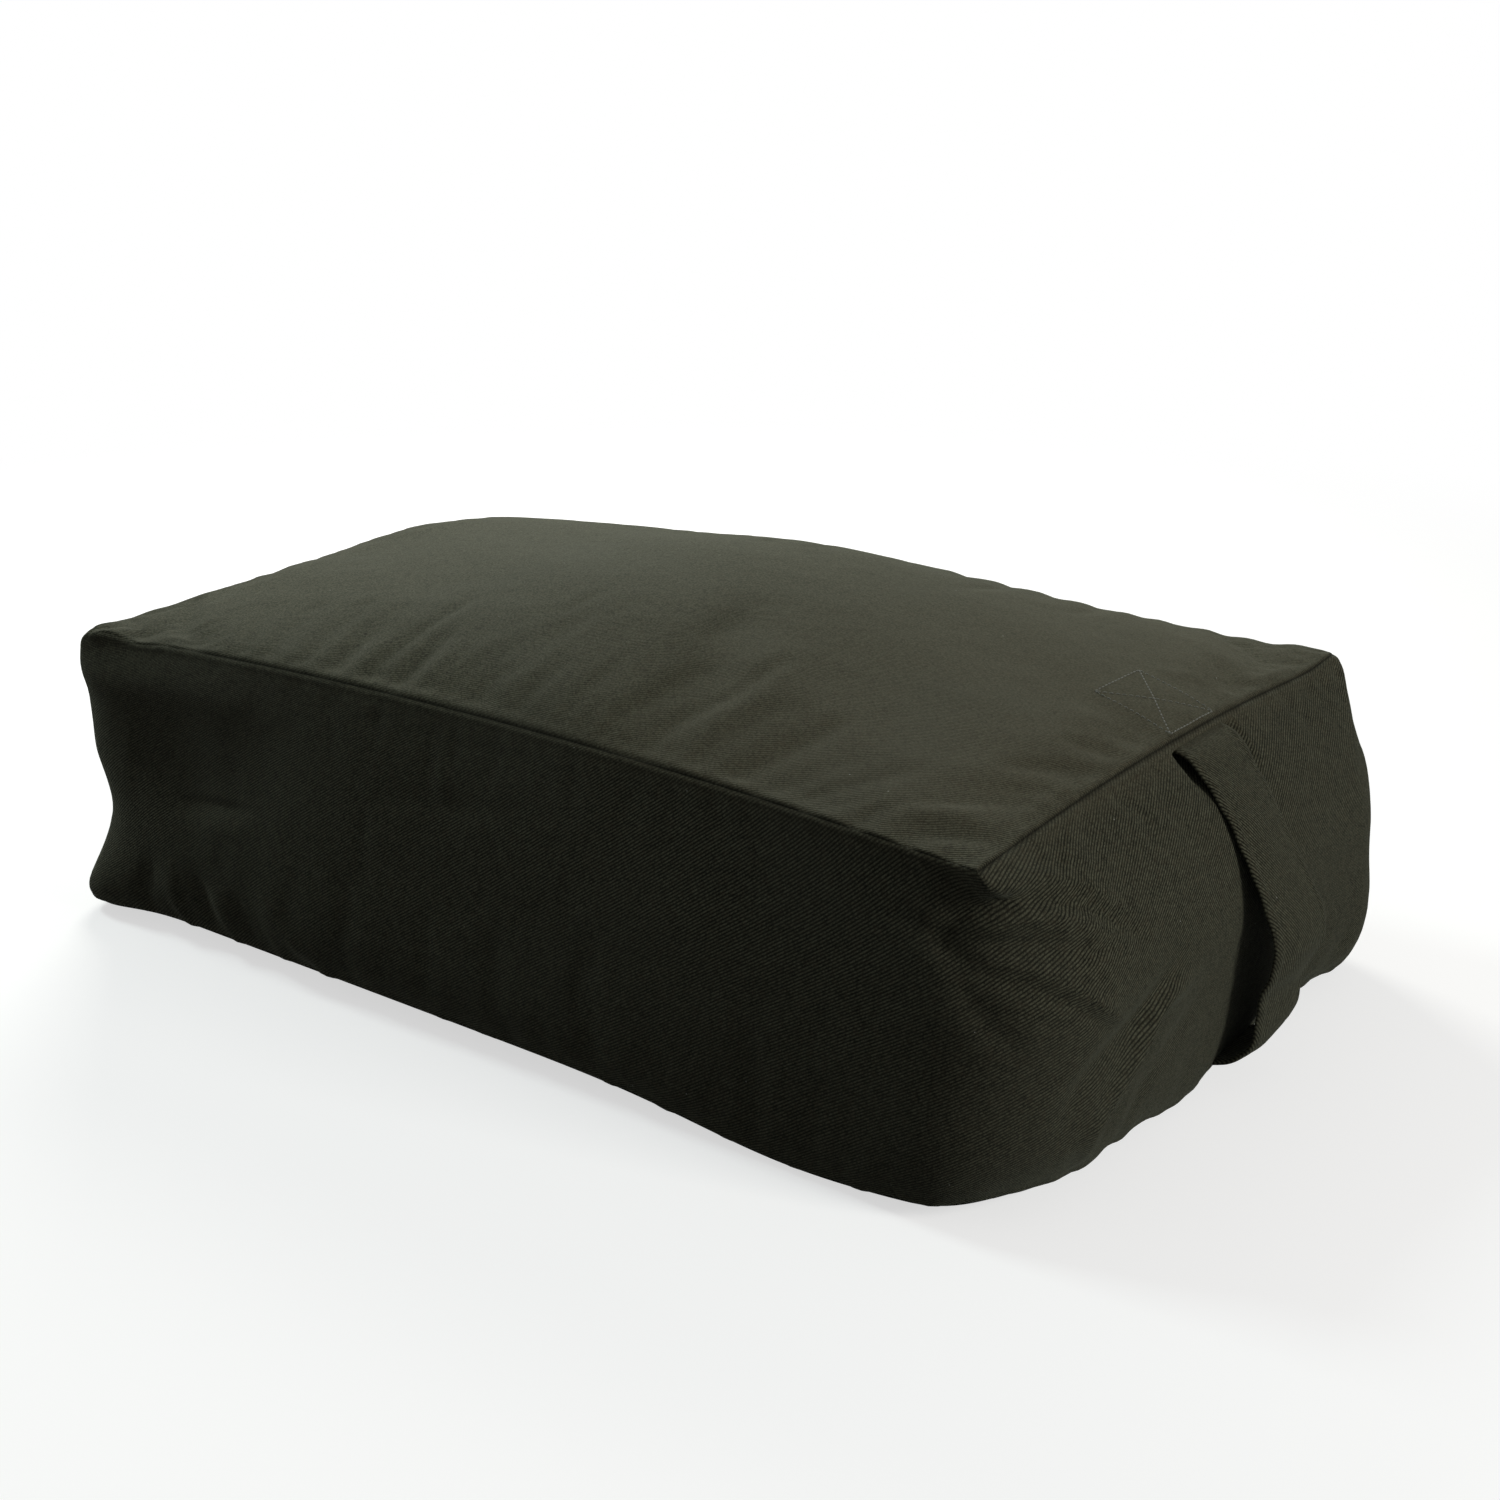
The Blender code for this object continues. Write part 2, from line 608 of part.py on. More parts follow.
def tooth_row(name, side, line):
    """Comb of moulded teeth that reach over the middle line between the teeth of the other row."""
    start = CHAIN_START + (0 if side > 0 else TOOTH_PITCH / 2)
    count = int((BRIDGE_TAIL - CLEARANCE - CHAIN_START - TOOTH_PITCH) / TOOTH_PITCH)
    root = TOOTH_REACH + CLEARANCE
    first = CHAIN_START
    last = BRIDGE_TAIL - CLEARANCE
    comb = [(first, root)]
    for tooth in range(count):
        middle = start + (tooth + 0.5) * TOOTH_PITCH
        comb += [
            (middle - TOOTH_ROOT_WIDTH / 2, root),
            (middle - TOOTH_TIP_WIDTH / 2, -TOOTH_REACH),
            (middle + TOOTH_TIP_WIDTH / 2, -TOOTH_REACH),
            (middle + TOOTH_ROOT_WIDTH / 2, root),
        ]
    comb.append((last, root))
    count = len(comb)
    bar = CHAIN_THICKNESS / 2
    section = gripping_profile(root)
    points = [(x, bar, side * z) for x, z in comb] + [(x, -bar, side * z) for x, z in comb]
    first_end = len(points)
    points += [(first, y, side * z) for z, y in section[1:-1]]
    last_end = len(points)
    points += [(last, y, side * z) for z, y in section[1:-1]]
    near = [0, *range(first_end, last_end), count]
    far = [count - 1, *range(last_end, len(points)), 2 * count - 1]
    faces = [tuple(near), tuple(far)]
    faces += [(i, i + 1, count + i + 1, count + i) for i in range(count - 1)]
    faces += [(near[i], near[i + 1], far[i + 1], far[i]) for i in range(1, len(near) - 2)]
    faces.append((*range(count), far[1], near[1]))
    faces.append((*range(count, 2 * count), far[-2], near[-2]))
    piece = place(name, mesh_of(name, points, faces), zip_plastic(), smooth=False)
    piece.parent = line
    return piece


def stop(name, side, line):
    """Stop crimped on one tape's edge just past the slider."""
    outline = [(z * side, y) for z, y in gripping_profile(TOOTH_REACH)]
    mesh = prism(name, [(y, z) for z, y in outline], SLIDER_NOSE + CLEARANCE, SLIDER_NOSE + STOP_LENGTH, 0)
    piece = place(name, mesh, zip_metal(), smooth=False)
    piece.parent = line
    return piece


def bottom_stop(line):
    """Stop that holds both tapes together at the chain's end."""
    near = gripping_profile(0)[1:-1]
    outline = near + [(-z, y) for z, y in reversed(near)]
    mesh = prism("zip_bottom_stop", [(y, z) for z, y in outline], CHAIN_START - STOP_LENGTH, CHAIN_START - CLEARANCE, 0)
    piece = place("zip_bottom_stop", mesh, zip_metal(), smooth=False)
    piece.parent = line
    return piece


def slider(line):
    """Two plates over the chain, joined by the wedge that parts the rows, with flanges and a bail."""
    tail_half = CHAIN_WIDTH / 2 + CLEARANCE + SLIDER_FLANGE
    nose_half = SLIDER_NOSE_WIDTH / 2
    length = SLIDER_LENGTH
    corner = SLIDER_FLANGE
    outline = [
        (0, -tail_half),
        (length - 2 * corner, -nose_half),
        (length, corner - nose_half),
        (length, nose_half - corner),
        (length - 2 * corner, nose_half),
        (0, tail_half),
    ]
    wedge = [
        (length - BRIDGE_LENGTH, 0),
        (length - BRIDGE_LENGTH / 2, -BRIDGE_WIDTH / 2),
        (length, -BRIDGE_WIDTH / 2),
        (length, BRIDGE_WIDTH / 2),
        (length - BRIDGE_LENGTH / 2, BRIDGE_WIDTH / 2),
    ]
    flange_edge = TAPE_THICKNESS / 2 + CLEARANCE
    bite = SLIDER_PLATE / 2
    parts = [
        prism("slider_back", outline, -PLATE_FACE, -PLATE_GAP, 1),
        prism("slider_wedge", wedge, -PLATE_GAP - bite, PLATE_GAP + bite, 1),
    ]
    for side in (-1, 1):
        rim = [
            (0, side * tail_half),
            (length - 2 * corner, side * nose_half),
            (length - 2 * corner, side * (nose_half - corner)),
            (0, side * (tail_half - corner)),
        ]
        parts.append(prism("slider_flange", rim, flange_edge, PLATE_GAP + bite, 1))
        parts.append(prism("slider_flange", rim, -PLATE_GAP - bite, -flange_edge, 1))
    middle = length / 2
    turns = [pi * step / BAIL_ARC_STEPS for step in range(BAIL_ARC_STEPS + 1)]
    outer = BAIL_SPAN / 2
    inner = outer - BAIL_WIRE
    arch = [(middle + outer * cos(t), PLATE_FACE + (BAIL_ROOM + BAIL_WIRE) * sin(t)) for t in turns]
    arch.append((middle - outer, PLATE_FACE - bite))
    arch.append((middle - inner, PLATE_FACE - bite))
    arch += [(middle + inner * cos(t), PLATE_FACE + BAIL_ROOM * sin(t)) for t in reversed(turns)]
    arch += [(middle + inner, PLATE_FACE - bite), (middle + outer, PLATE_FACE - bite)]
    parts.append(prism("slider_bail", arch, -BAIL_WIDTH / 2, BAIL_WIDTH / 2, 2))
    front = prism("slider_front", outline, PLATE_GAP, PLATE_FACE, 1)
    mesh = combined("zip_slider", front, parts, "UNION")
    piece = place("zip_slider", mesh, zip_metal(), smooth=False)
    piece.parent = line
    piece.location = (SLIDER_TAIL, 0, 0)
    return piece


def pull_tab(carrier):
    """Tab hooked on the bail by the bar at its end, lying back along the closed chain."""
    bar = PULL_THICKNESS / 2
    window_end = -bar - PULL_WINDOW_LENGTH
    corner = PULL_THICKNESS
    tip = -PULL_LENGTH
    half = PULL_WIDTH / 2
    tip_half = PULL_TIP_WIDTH / 2
    outline = [
        (bar, -half + corner),
        (bar, half - corner),
        (bar - corner, half),
        (window_end, half),
        (tip + corner, tip_half),
        (tip, tip_half - corner),
        (tip, corner - tip_half),
        (tip + corner, -tip_half),
        (window_end, -half),
        (bar - corner, -half),
    ]
    tab = prism("zip_pull", outline, -bar, bar, 1)
    room = PULL_THICKNESS
    window = PULL_WINDOW_WIDTH / 2
    eye = [(-bar, -window), (-bar, window), (window_end, window), (window_end, -window)]
    grip = PULL_GRIP_WIDTH / 2
    grip_far = tip + 2 * corner
    grip_near = grip_far + PULL_GRIP_LENGTH
    slot = [(grip_near, -grip), (grip_near, grip), (grip_far, grip), (grip_far, -grip)]
    cutters = [prism("pull_eye", eye, -room, room, 1), prism("pull_slot", slot, -room, room, 1)]
    piece = place("zip_pull", combined("zip_pull", tab, cutters, "DIFFERENCE"), zip_metal(), smooth=False)
    piece.parent = carrier
    piece.location = (SLIDER_LENGTH / 2, PLATE_FACE + (BAIL_ROOM + CLEARANCE) / 2, 0)
    return piece


# Carrying strap


def smooth_curve(points, count):
    """Even stations along a smooth curve from the second point to the last but one."""
    points = np.array(points)
    steps = np.linspace(0, 1, count, endpoint=False)[:, None]
    parts = []
    for a, b, c, d in zip(points[:-3], points[1:-2], points[2:-1], points[3:]):
        parts.append(
            b + 0.5 * steps * (c - a + steps * (2 * a - 5 * b + 4 * c - d + steps * (3 * (b - c) + d - a)))
        )
    dense = np.concatenate([*parts, points[-2:-1]])
    gone = np.concatenate([[0], np.cumsum(np.linalg.norm(np.diff(dense, axis=0), axis=1))])
    wanted = np.linspace(0, gone[-1], count)
    return np.stack([np.interp(wanted, gone, dense[:, axis]) for axis in range(3)], -1)


def sewn_end(form, y, upper):
    """Strap's end between the panel and the liner, from its inner edge to the seam."""
    u = np.linspace(1 - STRAP_INNER_LENGTH / TOP_SEAM_HALF_LENGTH, 1, STRAP_SEWN_STATIONS)
    v = np.full_like(u, y / TOP_SEAM_HALF_WIDTH)
    v = v * y / form(u, v)[:, 1] if y else v
    inward = panel_normals(form, u, v) * (-1 if upper else 1)
    inward[-1] = seam_inward(u[-1:], v[-1:], upper)[0]
    return form(u, v) + inward * STRAP_SEWN_DEPTH


def strap_line(y):
    """Middle of the strap's thickness at one place across its width, from one sewn end to the other."""
    top = sewn_end(top_form, y, True)
    bottom = sewn_end(bottom_form, y, False)[::-1]
    share = STRAP_OFF_CENTRE / TOP_SEAM_HALF_WIDTH
    loop = []
    for height_share, standoff_share in STRAP_PATH_SHARES:
        z = height_share * TOP_SEAM_HEIGHT
        upper = top_seam_height(1.0, share) - BELLY_HEIGHT
        w = (z - BELLY_HEIGHT) / (upper if z > BELLY_HEIGHT else LOWER_REACH)
        end = side_form(1.0, share, w)
        loop.append((end[0] + standoff_share * STRAP_STANDOFF, y, z))
    route = [top[-2], top[-1], *loop, bottom[0], bottom[1]]
    return np.concatenate([top[:-1], smooth_curve(route, STRAP_STATIONS), bottom[1:]])


def handle_strap():
    """Strap sewn under the top panel and on the bottom panel, hanging free of the end in between."""
    places = np.array(STRAP_ACROSS_SHARES) * STRAP_WIDTH / 2 + STRAP_OFF_CENTRE
    middle = np.stack([strap_line(y) for y in places])
    out = unit(np.cross(np.gradient(middle, axis=1), np.gradient(middle, axis=0)))
    half = (np.array(STRAP_EDGE_SHARES) * STRAP_THICKNESS / 2)[:, None, None]
    return place("handle_strap", sheet("handle_strap", middle + out * half, middle - out * half), cover_twill())


# Liner and batting


def liner_stations(lengths, widths):
    """Coarse stations, with some at the edges of the hollows over the strap's sewn ends."""
    end = 1 - (STRAP_INNER_LENGTH + LINER_DIP_MARGIN) / TOP_SEAM_HALF_LENGTH
    across = merged(lengths, (end - LINER_DIP_RUN / TOP_SEAM_HALF_LENGTH, end), LEAST_CELL_SHARE)
    edges = strap_stations(LINER_DIP_MARGIN) + strap_stations(LINER_DIP_MARGIN + LINER_DIP_RUN)
    return across, merged(widths, edges, LEAST_CELL_SHARE)


def panel_hollow(u, points):
    """Hollow of the liner under a sewn end of the strap, deepest at the seam."""
    end = 1 - (STRAP_INNER_LENGTH + LINER_DIP_MARGIN) / TOP_SEAM_HALF_LENGTH
    rise = np.clip((u - end) * TOP_SEAM_HALF_LENGTH / LINER_DIP_RUN + 1, 0, 1)
    sewn = STRAP_SEWN_DEPTH + STRAP_THICKNESS / 2 + CLEARANCE - LINER_CROWN_DEPTH
    seam = STRAP_DIP + 2 * CLOTH + CLEARANCE - LINER_SIDE_DEPTH
    deep = sewn + (seam - sewn) * np.clip((u - end) / (1 - end), 0, 1)
    return rise * deep * strap_window(points[..., 1], LINER_DIP_MARGIN, LINER_DIP_RUN)


def corner_room(u, v):
    return LINER_CORNER_ROOM * (np.minimum(np.abs(u), np.abs(v)) > LINER_CORNER_SHARE)


def side_hollow(u, v, w, points):
    """Hollow of the liner's side behind the strap's dips, and behind the zip."""
    high = np.clip((np.abs(w) - 1 + LINER_DIP_SIDE_SHARE) / LINER_DIP_SIDE_SHARE, 0, 1)
    window = strap_window(points[..., 1], LINER_DIP_MARGIN, LINER_DIP_RUN) * (u > 1 - NORMAL_STEP_SHARE)
    seam = STRAP_DIP + 2 * CLOTH + CLEARANCE - LINER_SIDE_DEPTH
    behind_zip = (np.abs(w) < LEAST_CELL_SHARE) & (v > 1 - NORMAL_STEP_SHARE) & (np.abs(u) < LINER_CORNER_SHARE)
    return seam * high * window + LINER_ZIP_DIP * behind_zip


def liner_panel(name, form, upper, rest_depth):
    """Top or bottom panel of the liner."""
    across, along = liner_stations(LINER_LENGTH_SHARES, LINER_WIDTH_SHARES)
    across = drawn_in(across, TOP_SEAM_HALF_LENGTH)
    along = drawn_in(along, TOP_SEAM_HALF_WIDTH)

    def face(u, v, points):
        rim = np.maximum(np.abs(u), np.abs(v)) > 1 - LEAST_CELL_SHARE
        return np.where(rim, LINER_SIDE_DEPTH, rest_depth) + panel_hollow(u, points) + corner_room(u, v)

    def back(u, v, points):
        return face(u, v, points) + LINER_CLOTH

    outer = panel_points(form, across, along, face, upper)
    inner = panel_points(form, across, along, back, upper)
    return place(name, sheet(name, outer, inner), liner_cotton())


def liner_boxing():
    """Side strip of the liner, closed in a ring."""
    across, strap_end = liner_stations(LINER_LENGTH_SHARES, LINER_WIDTH_SHARES)
    turn_u = np.concatenate([across[:-1], np.ones(len(strap_end) - 1), across[:0:-1], -np.ones(len(strap_end) - 1)])
    turn_v = np.concatenate(
        [-np.ones(len(across) - 1), strap_end[:-1], np.ones(len(across) - 1), strap_end[:0:-1]]
    )
    u = np.concatenate([turn_u[-1:], turn_u, turn_u[:1]])
    v = np.concatenate([turn_v[-1:], turn_v, turn_v[:1]])
    w = drawn_in(LINER_ROW_SHARES, UPPER_REACH)[:, None]

    def face(u, v, w, points):
        return LINER_SIDE_DEPTH + side_hollow(u, v, w, points) + corner_room(u, v)

    def back(u, v, w, points):
        return face(u, v, w, points) + LINER_CLOTH

    outer = side_points(u, v, w, face)[:, 1:-1]
    inner = side_points(u, v, w, back)[:, 1:-1]
    return place("liner_boxing", sheet("liner_boxing", outer, inner, ring=True), liner_cotton())


def core_level(u, v, share):
    """Grid of points inside the liner at a share of the height between its panels."""
    keep_u = u * (1 - BATT_INSET / BELLY_HALF_LENGTH)
    keep_v = v * (1 - BATT_INSET / BELLY_HALF_WIDTH)
    far = np.maximum(np.maximum(np.abs(u), np.abs(v)), CLEARANCE)
    edge = side_form(u / far, v / far, 2 * share - 1)
    x = edge[..., 0] * far * (1 - BATT_INSET / BELLY_HALF_LENGTH)
    y = edge[..., 1] * far * (1 - BATT_INSET / BELLY_HALF_WIDTH)
    top = top_form(keep_u, keep_v)
    slope = panel_normals(top_form, keep_u, keep_v)[..., 2]
    room = BATT_ROOM * (1 + far**4)
    top_room = LINER_CROWN_DEPTH + LINER_CLOTH + room + panel_hollow(keep_u, top)
    bottom = bottom_form(keep_u, keep_v)
    bottom_room = CLOTH + LINER_CLOTH + 2 * CLEARANCE + panel_hollow(keep_u, bottom) + BATT_RIM_ROOM * far**4
    low = bottom[..., 2] + bottom_room
    high = top[..., 2] - top_room / slope
    return np.stack([x, y, low + (high - low) * share], -1)


def batt(number):
    """One layer of cotton batting."""
    across, along = liner_stations(BATT_LENGTH_SHARES, BATT_WIDTH_SHARES)
    u, v = np.meshgrid(across, along)
    thickness = TOP_SEAM_HEIGHT / BATT_COUNT
    low = number / BATT_COUNT
    high = (number + 1) / BATT_COUNT - CLEARANCE / thickness / BATT_COUNT * (number + 1 < BATT_COUNT)
    name = f"batt_layer_{number + 1}"
    lower = core_level(u, v, low)
    upper = core_level(u, v, high)
    return place(name, sheet(name, upper, lower), batting_cotton())


def main():
    for thing in list(bpy.data.objects):
        bpy.data.objects.remove(thing, do_unlink=True)
    cover_panel("top_panel", top_form, True)
    cover_panel("bottom_panel", bottom_form, False)
    boxing_strip()
    zip_strip("zip_strip_upper", 1)
    zip_strip("zip_strip_lower", -1)
    zip_tape("zip_tape_upper", 1)
    zip_tape("zip_tape_lower", -1)
    line = zip_line()
    tooth_row("zip_teeth_upper", 1, line)
    tooth_row("zip_teeth_lower", -1, line)
    stop("zip_top_stop_upper", 1, line)
    stop("zip_top_stop_lower", -1, line)
    bottom_stop(line)
    pull_tab(slider(line))
    handle_strap()
    liner_panel("liner_top", top_form, True, LINER_CROWN_DEPTH)
    liner_panel("liner_bottom", bottom_form, False, CLOTH + CLEARANCE)
    liner_boxing()
    for number in range(BATT_COUNT):
        batt(number)


main()
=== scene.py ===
"""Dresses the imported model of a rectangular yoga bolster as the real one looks.

+X runs along the bolster to its strap end, +Y to its zip side and +Z up, in metres, as in the
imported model. The soft goods are made here as fine surfaces, the zip's teeth keep their solids,
and its metal pieces are softened copies of theirs.
"""

import logging
from dataclasses import dataclass
from enum import Enum
from math import cos, pi, radians, sin
from typing import Callable

import bmesh
import bpy
import numpy as np
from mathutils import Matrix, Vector


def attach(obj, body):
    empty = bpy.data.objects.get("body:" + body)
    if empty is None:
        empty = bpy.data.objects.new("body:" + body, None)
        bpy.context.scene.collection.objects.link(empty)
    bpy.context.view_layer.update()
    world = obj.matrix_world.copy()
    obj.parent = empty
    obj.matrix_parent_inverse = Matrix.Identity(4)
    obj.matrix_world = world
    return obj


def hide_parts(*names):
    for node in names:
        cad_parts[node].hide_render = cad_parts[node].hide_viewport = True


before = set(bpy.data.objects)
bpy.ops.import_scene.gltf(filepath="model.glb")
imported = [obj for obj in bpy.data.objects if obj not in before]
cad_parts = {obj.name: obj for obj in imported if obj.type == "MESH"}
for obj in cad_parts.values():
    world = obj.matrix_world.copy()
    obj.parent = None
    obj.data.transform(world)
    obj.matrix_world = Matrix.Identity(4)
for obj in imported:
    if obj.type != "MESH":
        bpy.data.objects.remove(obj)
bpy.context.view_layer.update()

LOG = logging.getLogger("bolster")
MM = 0.001
ON_EDGE = 0.999
WHITE = (1.0, 1.0, 1.0)

Array = np.ndarray
Piece = bpy.types.Object
Material = bpy.types.Material
Owner = bpy.types.Material | bpy.types.World
Colour = tuple[float, ...]
Place = tuple[float, float, float]
Range = tuple[float, float]


class Slot(Enum):
    """The record's material slots."""

    TWILL = "cover_twill"
    COTTON = "liner_cotton"
    BATTING = "batting_cotton"
    TAPE = "zip_cloth"
    TEETH = "zip_plastic"
    METAL = "zip_metal"


class Half(Enum):
    """The upper or the lower one of a pair, with the sign of its side."""

    UPPER = 1
    LOWER = -1


class Ray(Enum):
    """Light rays that see the white background."""

    CAMERA = "Is Camera Ray"
    GLOSSY = "Is Glossy Ray"
    TRANSMISSION = "Is Transmission Ray"


# Surfaces as whole arrays


def unit(vectors: Array) -> Array:
    """Scale each vector to length one: v / |v|."""
    return vectors / np.maximum(np.linalg.norm(vectors, axis=-1, keepdims=True), 1e-12)


def bell(distance: Array, width: float) -> Array:
    """Bell curve exp(-(distance / width)^2)."""
    return np.exp(-((distance / width) ** 2))


def smooth_step(value: Array, low: float, high: float) -> Array:
    """Ease from 0 at low to 1 at high: s = clip((value - low) / (high - low)), s^2 (3 - 2 s)."""
    share = np.clip((value - low) / (high - low), 0.0, 1.0)
    return share * share * (3.0 - 2.0 * share)


def graded(length: float, fine: float, coarse: float) -> Array:
    """Stations from 0 to length, whose n-th step from either end is min(coarse, fine * 1.17^n).

    Args:
        length: The distance to divide.
        fine: The first step at both ends.
        coarse: The largest step.

    Returns:
        The stations in order, the two ends included.
    """
    half = np.cumsum(np.minimum(coarse, fine * 1.17 ** np.arange(400)))
    half = np.concatenate([[0.0], half[half < length / 2 - coarse / 2]])
    return np.concatenate([half, length - half[::-1]])


def gone_along(points: Array) -> Array:
    """Distance along a line of points to each of them: the sum of |P[i] - P[i - 1]|."""
    return np.concatenate([[0.0], np.cumsum(np.linalg.norm(np.diff(points, axis=0), axis=1))])


def grid_normals(points: Array, wrap: bool = False) -> Array:
    """Unit normals of a grid of points: dP/dcolumn x dP/drow.

    Args:
        points: The grid, rows by columns by 3.
        wrap: Whether the last column is next to the first.

    Returns:
        A normal for each point.
    """
    along = np.gradient(points, axis=1)
    if wrap:
        along = np.roll(points, -1, axis=1) - np.roll(points, 1, axis=1)
    return unit(np.cross(along, np.gradient(points, axis=0)))


def normal_at(surface: Callable, u: Array, v: Array, step: float) -> Array:
    """Unit normals dP/du x dP/dv of a surface P(u, v), by differences over a step."""
    first = surface(u + step, v) - surface(u - step, v)
    return unit(np.cross(first, surface(u, v + step) - surface(u, v - step)))


def nearby(stations: Array, wanted: Array) -> tuple[Array, Array]:
    """Find the four stations round each wanted place, and their weights in a smooth cubic curve.

    Args:
        stations: Places in order.
        wanted: Places between them.

    Returns:
        The stations' numbers and weights.
    """
    at = np.clip(np.searchsorted(stations, wanted, side="right") - 1, 0, len(stations) - 2)
    t = np.clip((wanted - stations[at]) / (stations[at + 1] - stations[at]), 0.0, 1.0)
    before, after = ((2 - t) * t - 1) * t, (t - 1) * t * t
    weights = [before, (3 * t - 5) * t * t + 2, ((4 - 3 * t) * t + 1) * t, after]
    return np.clip(at[..., None] + np.arange(-1, 3), 0, len(stations) - 1), np.stack(weights, -1) / 2


def smoothed(grid: Array, rounds: int) -> Array:
    """Even out a grid: each round takes (a + 2 b + c) / 4 along both axes, the edges repeated.

    Args:
        grid: The values.
        rounds: How often it is done.

    Returns:
        The evened grid.
    """
    for _ in range(rounds):
        wide = np.pad(grid, ((1, 1), (0, 0)), mode="edge")
        wide = np.pad((wide[:-2] + 2 * grid + wide[2:]) / 4, ((0, 0), (1, 1)), mode="edge")
        grid = (wide[:, :-2] + 2 * wide[:, 1:-1] + wide[:, 2:]) / 4
    return grid


def quads(numbers: Array) -> Array:
    """Faces between neighbours in a table of point numbers."""
    corners = [numbers[:-1, :-1], numbers[:-1, 1:], numbers[1:, 1:], numbers[1:, :-1]]
    return np.stack(corners, -1).reshape(-1, 4)


def grid_faces(rows: int, columns: int) -> Array:
    """Faces of a grid whose points are numbered row by row."""
    return quads(np.arange(rows * columns).reshape(rows, columns))


def wrapped(numbers: Array) -> Array:
    """A table whose first column comes again after its last."""
    return np.concatenate([numbers, numbers[:, :1]], axis=1)


def rim_numbers(rows: int, columns: int) -> Array:
    """Numbers of a grid's edge points, round from its first corner."""
    number = np.arange(rows * columns).reshape(rows, columns)
    return np.concatenate([number[0, :-1], number[:-1, -1], number[-1, :0:-1], number[:0:-1, 0]])


def shell(low: Array, high: Array, between: Array, ring: Array | None = None) -> tuple[Array, Array]:
    """Close two grids with rows of points between their rims.

    Args:
        low: The lower grid.
        high: The upper grid, of the same size.
        between: Rows of points between the two rims, from the lower one up.
        ring: Numbers of a grid's edge points, where they don't start at its first corner.

    Returns:
        The points (low, high, between) and the faces (low, high, walls).
    """
    rows, columns = low.shape[:2]
    count = rows * columns
    ring = rim_numbers(rows, columns) if ring is None else ring
    inner = 2 * count + np.arange(between.size // 3).reshape(len(between), len(ring))
    walls = quads(wrapped(np.concatenate([ring[None], inner, ring[None] + count])))
    grid = grid_faces(rows, columns)
    points = np.concatenate([part.reshape(-1, 3) for part in (low, high, between)])
    return points, np.concatenate([grid[:, ::-1], grid + count, walls])


def solid_object(
    name: str, points: Array, faces: Array, cloth: Array | None = None, seam: Array | None = None
) -> Piece:
    """Put a mesh in the scene, at the origin, with its place in its points.

    Args:
        name: The piece's name.
        points: Points, count by 3.
        faces: Faces, count by 4, as numbers of points.
        cloth: Cloth coordinates in metres of each face's corners, faces by corners by 2.
        seam: How deep in a seam each point lies, from 0 to 1, which the twill paints as shade.

    Returns:
        The object.
    """
    mesh = bpy.data.meshes.new(name)
    mesh.vertices.add(len(points))
    mesh.vertices.foreach_set("co", np.ascontiguousarray(points, np.float32).ravel())
    mesh.loops.add(faces.size)
    mesh.loops.foreach_set("vertex_index", np.ascontiguousarray(faces, np.int32).ravel())
    mesh.polygons.add(len(faces))
    mesh.polygons.foreach_set("loop_start", np.arange(0, faces.size, faces.shape[1], dtype=np.int32))
    mesh.update(calc_edges=True)
    if cloth is not None:
        layer = mesh.uv_layers.new(name="cloth")
        layer.data.foreach_set("uv", np.ascontiguousarray(cloth, np.float32).ravel())
    if seam is not None:
        mesh.attributes.new("seam", "FLOAT", "POINT").data.foreach_set("value", seam.astype(np.float32))
    mesh.validate()
    mesh.shade_smooth()
    piece = bpy.data.objects.new(name, mesh)
    bpy.context.scene.collection.objects.link(piece)
    return piece


def turned_out(piece: Piece) -> Piece:
    """Merge a mesh's doubles and turn its faces outwards.

    Args:
        piece: The piece, whose mesh is changed.

    Returns:
        The same piece.
    """
    shape = bmesh.new()
    shape.from_mesh(piece.data)
    bmesh.ops.remove_doubles(shape, verts=shape.verts, dist=1e-6)
    bmesh.ops.dissolve_degenerate(shape, edges=shape.edges, dist=1e-7)
    bmesh.ops.recalc_face_normals(shape, faces=shape.faces)
    if shape.calc_volume(signed=True) < 0:
        bmesh.ops.reverse_faces(shape, faces=shape.faces)
    shape.to_mesh(piece.data)
    shape.free()
    piece.data.shade_smooth()
    return piece


def dressed(
    piece: Piece, finish: Material, slot: Slot, *nodes: str, body: str = "root", fill: float = 0.0
) -> Piece:
    """Give a piece its finish, hang it on its body and hide the nodes that it stands for.

    Args:
        piece: The piece.
        finish: Its material.
        slot: The record's slot that it takes its finish from; not used.
        nodes: The nodes that it stands for.
        body: The body that carries it.
        fill: How tight it is stuffed, where it is padded; not used.

    Returns:
        The same piece.
    """
    piece.data.materials.append(finish)
    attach(piece, body)
    if nodes:
        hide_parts(*nodes)
    return piece


def cloth_turn(s: Array, t: Array, degrees: float) -> Array:
    """Cloth coordinates (-s sin a + t cos a, s cos a + t sin a), for lines at a from s towards t."""
    a = radians(degrees)
    return np.stack([-s * sin(a) + t * cos(a), s * cos(a) + t * sin(a)], -1)


@dataclass(frozen=True)
class Waves:
    """Soft unevenness: height / sqrt(count) times the sum of count plane waves cos(k . p + phase)."""

    height: float
    lengths: Range
    count: int
    seed: int

    def at(self, first: Array, second: Array) -> Array:
        """Height at points given by two coordinates in metres.

        Args:
            first: First coordinate of each point.
            second: Second coordinate of each point.

        Returns:
            The height at each point.
        """
        rng = np.random.default_rng(self.seed)
        total = np.zeros(np.broadcast(first, second).shape)
        for _ in range(self.count):
            turn, phase = rng.uniform(0, 2 * pi, 2)
            rate = 2 * pi / rng.uniform(*self.lengths)
            total += np.cos(rate * (first * cos(turn) + second * sin(turn)) + phase)
        return total * self.height / self.count**0.5


# Shader maths


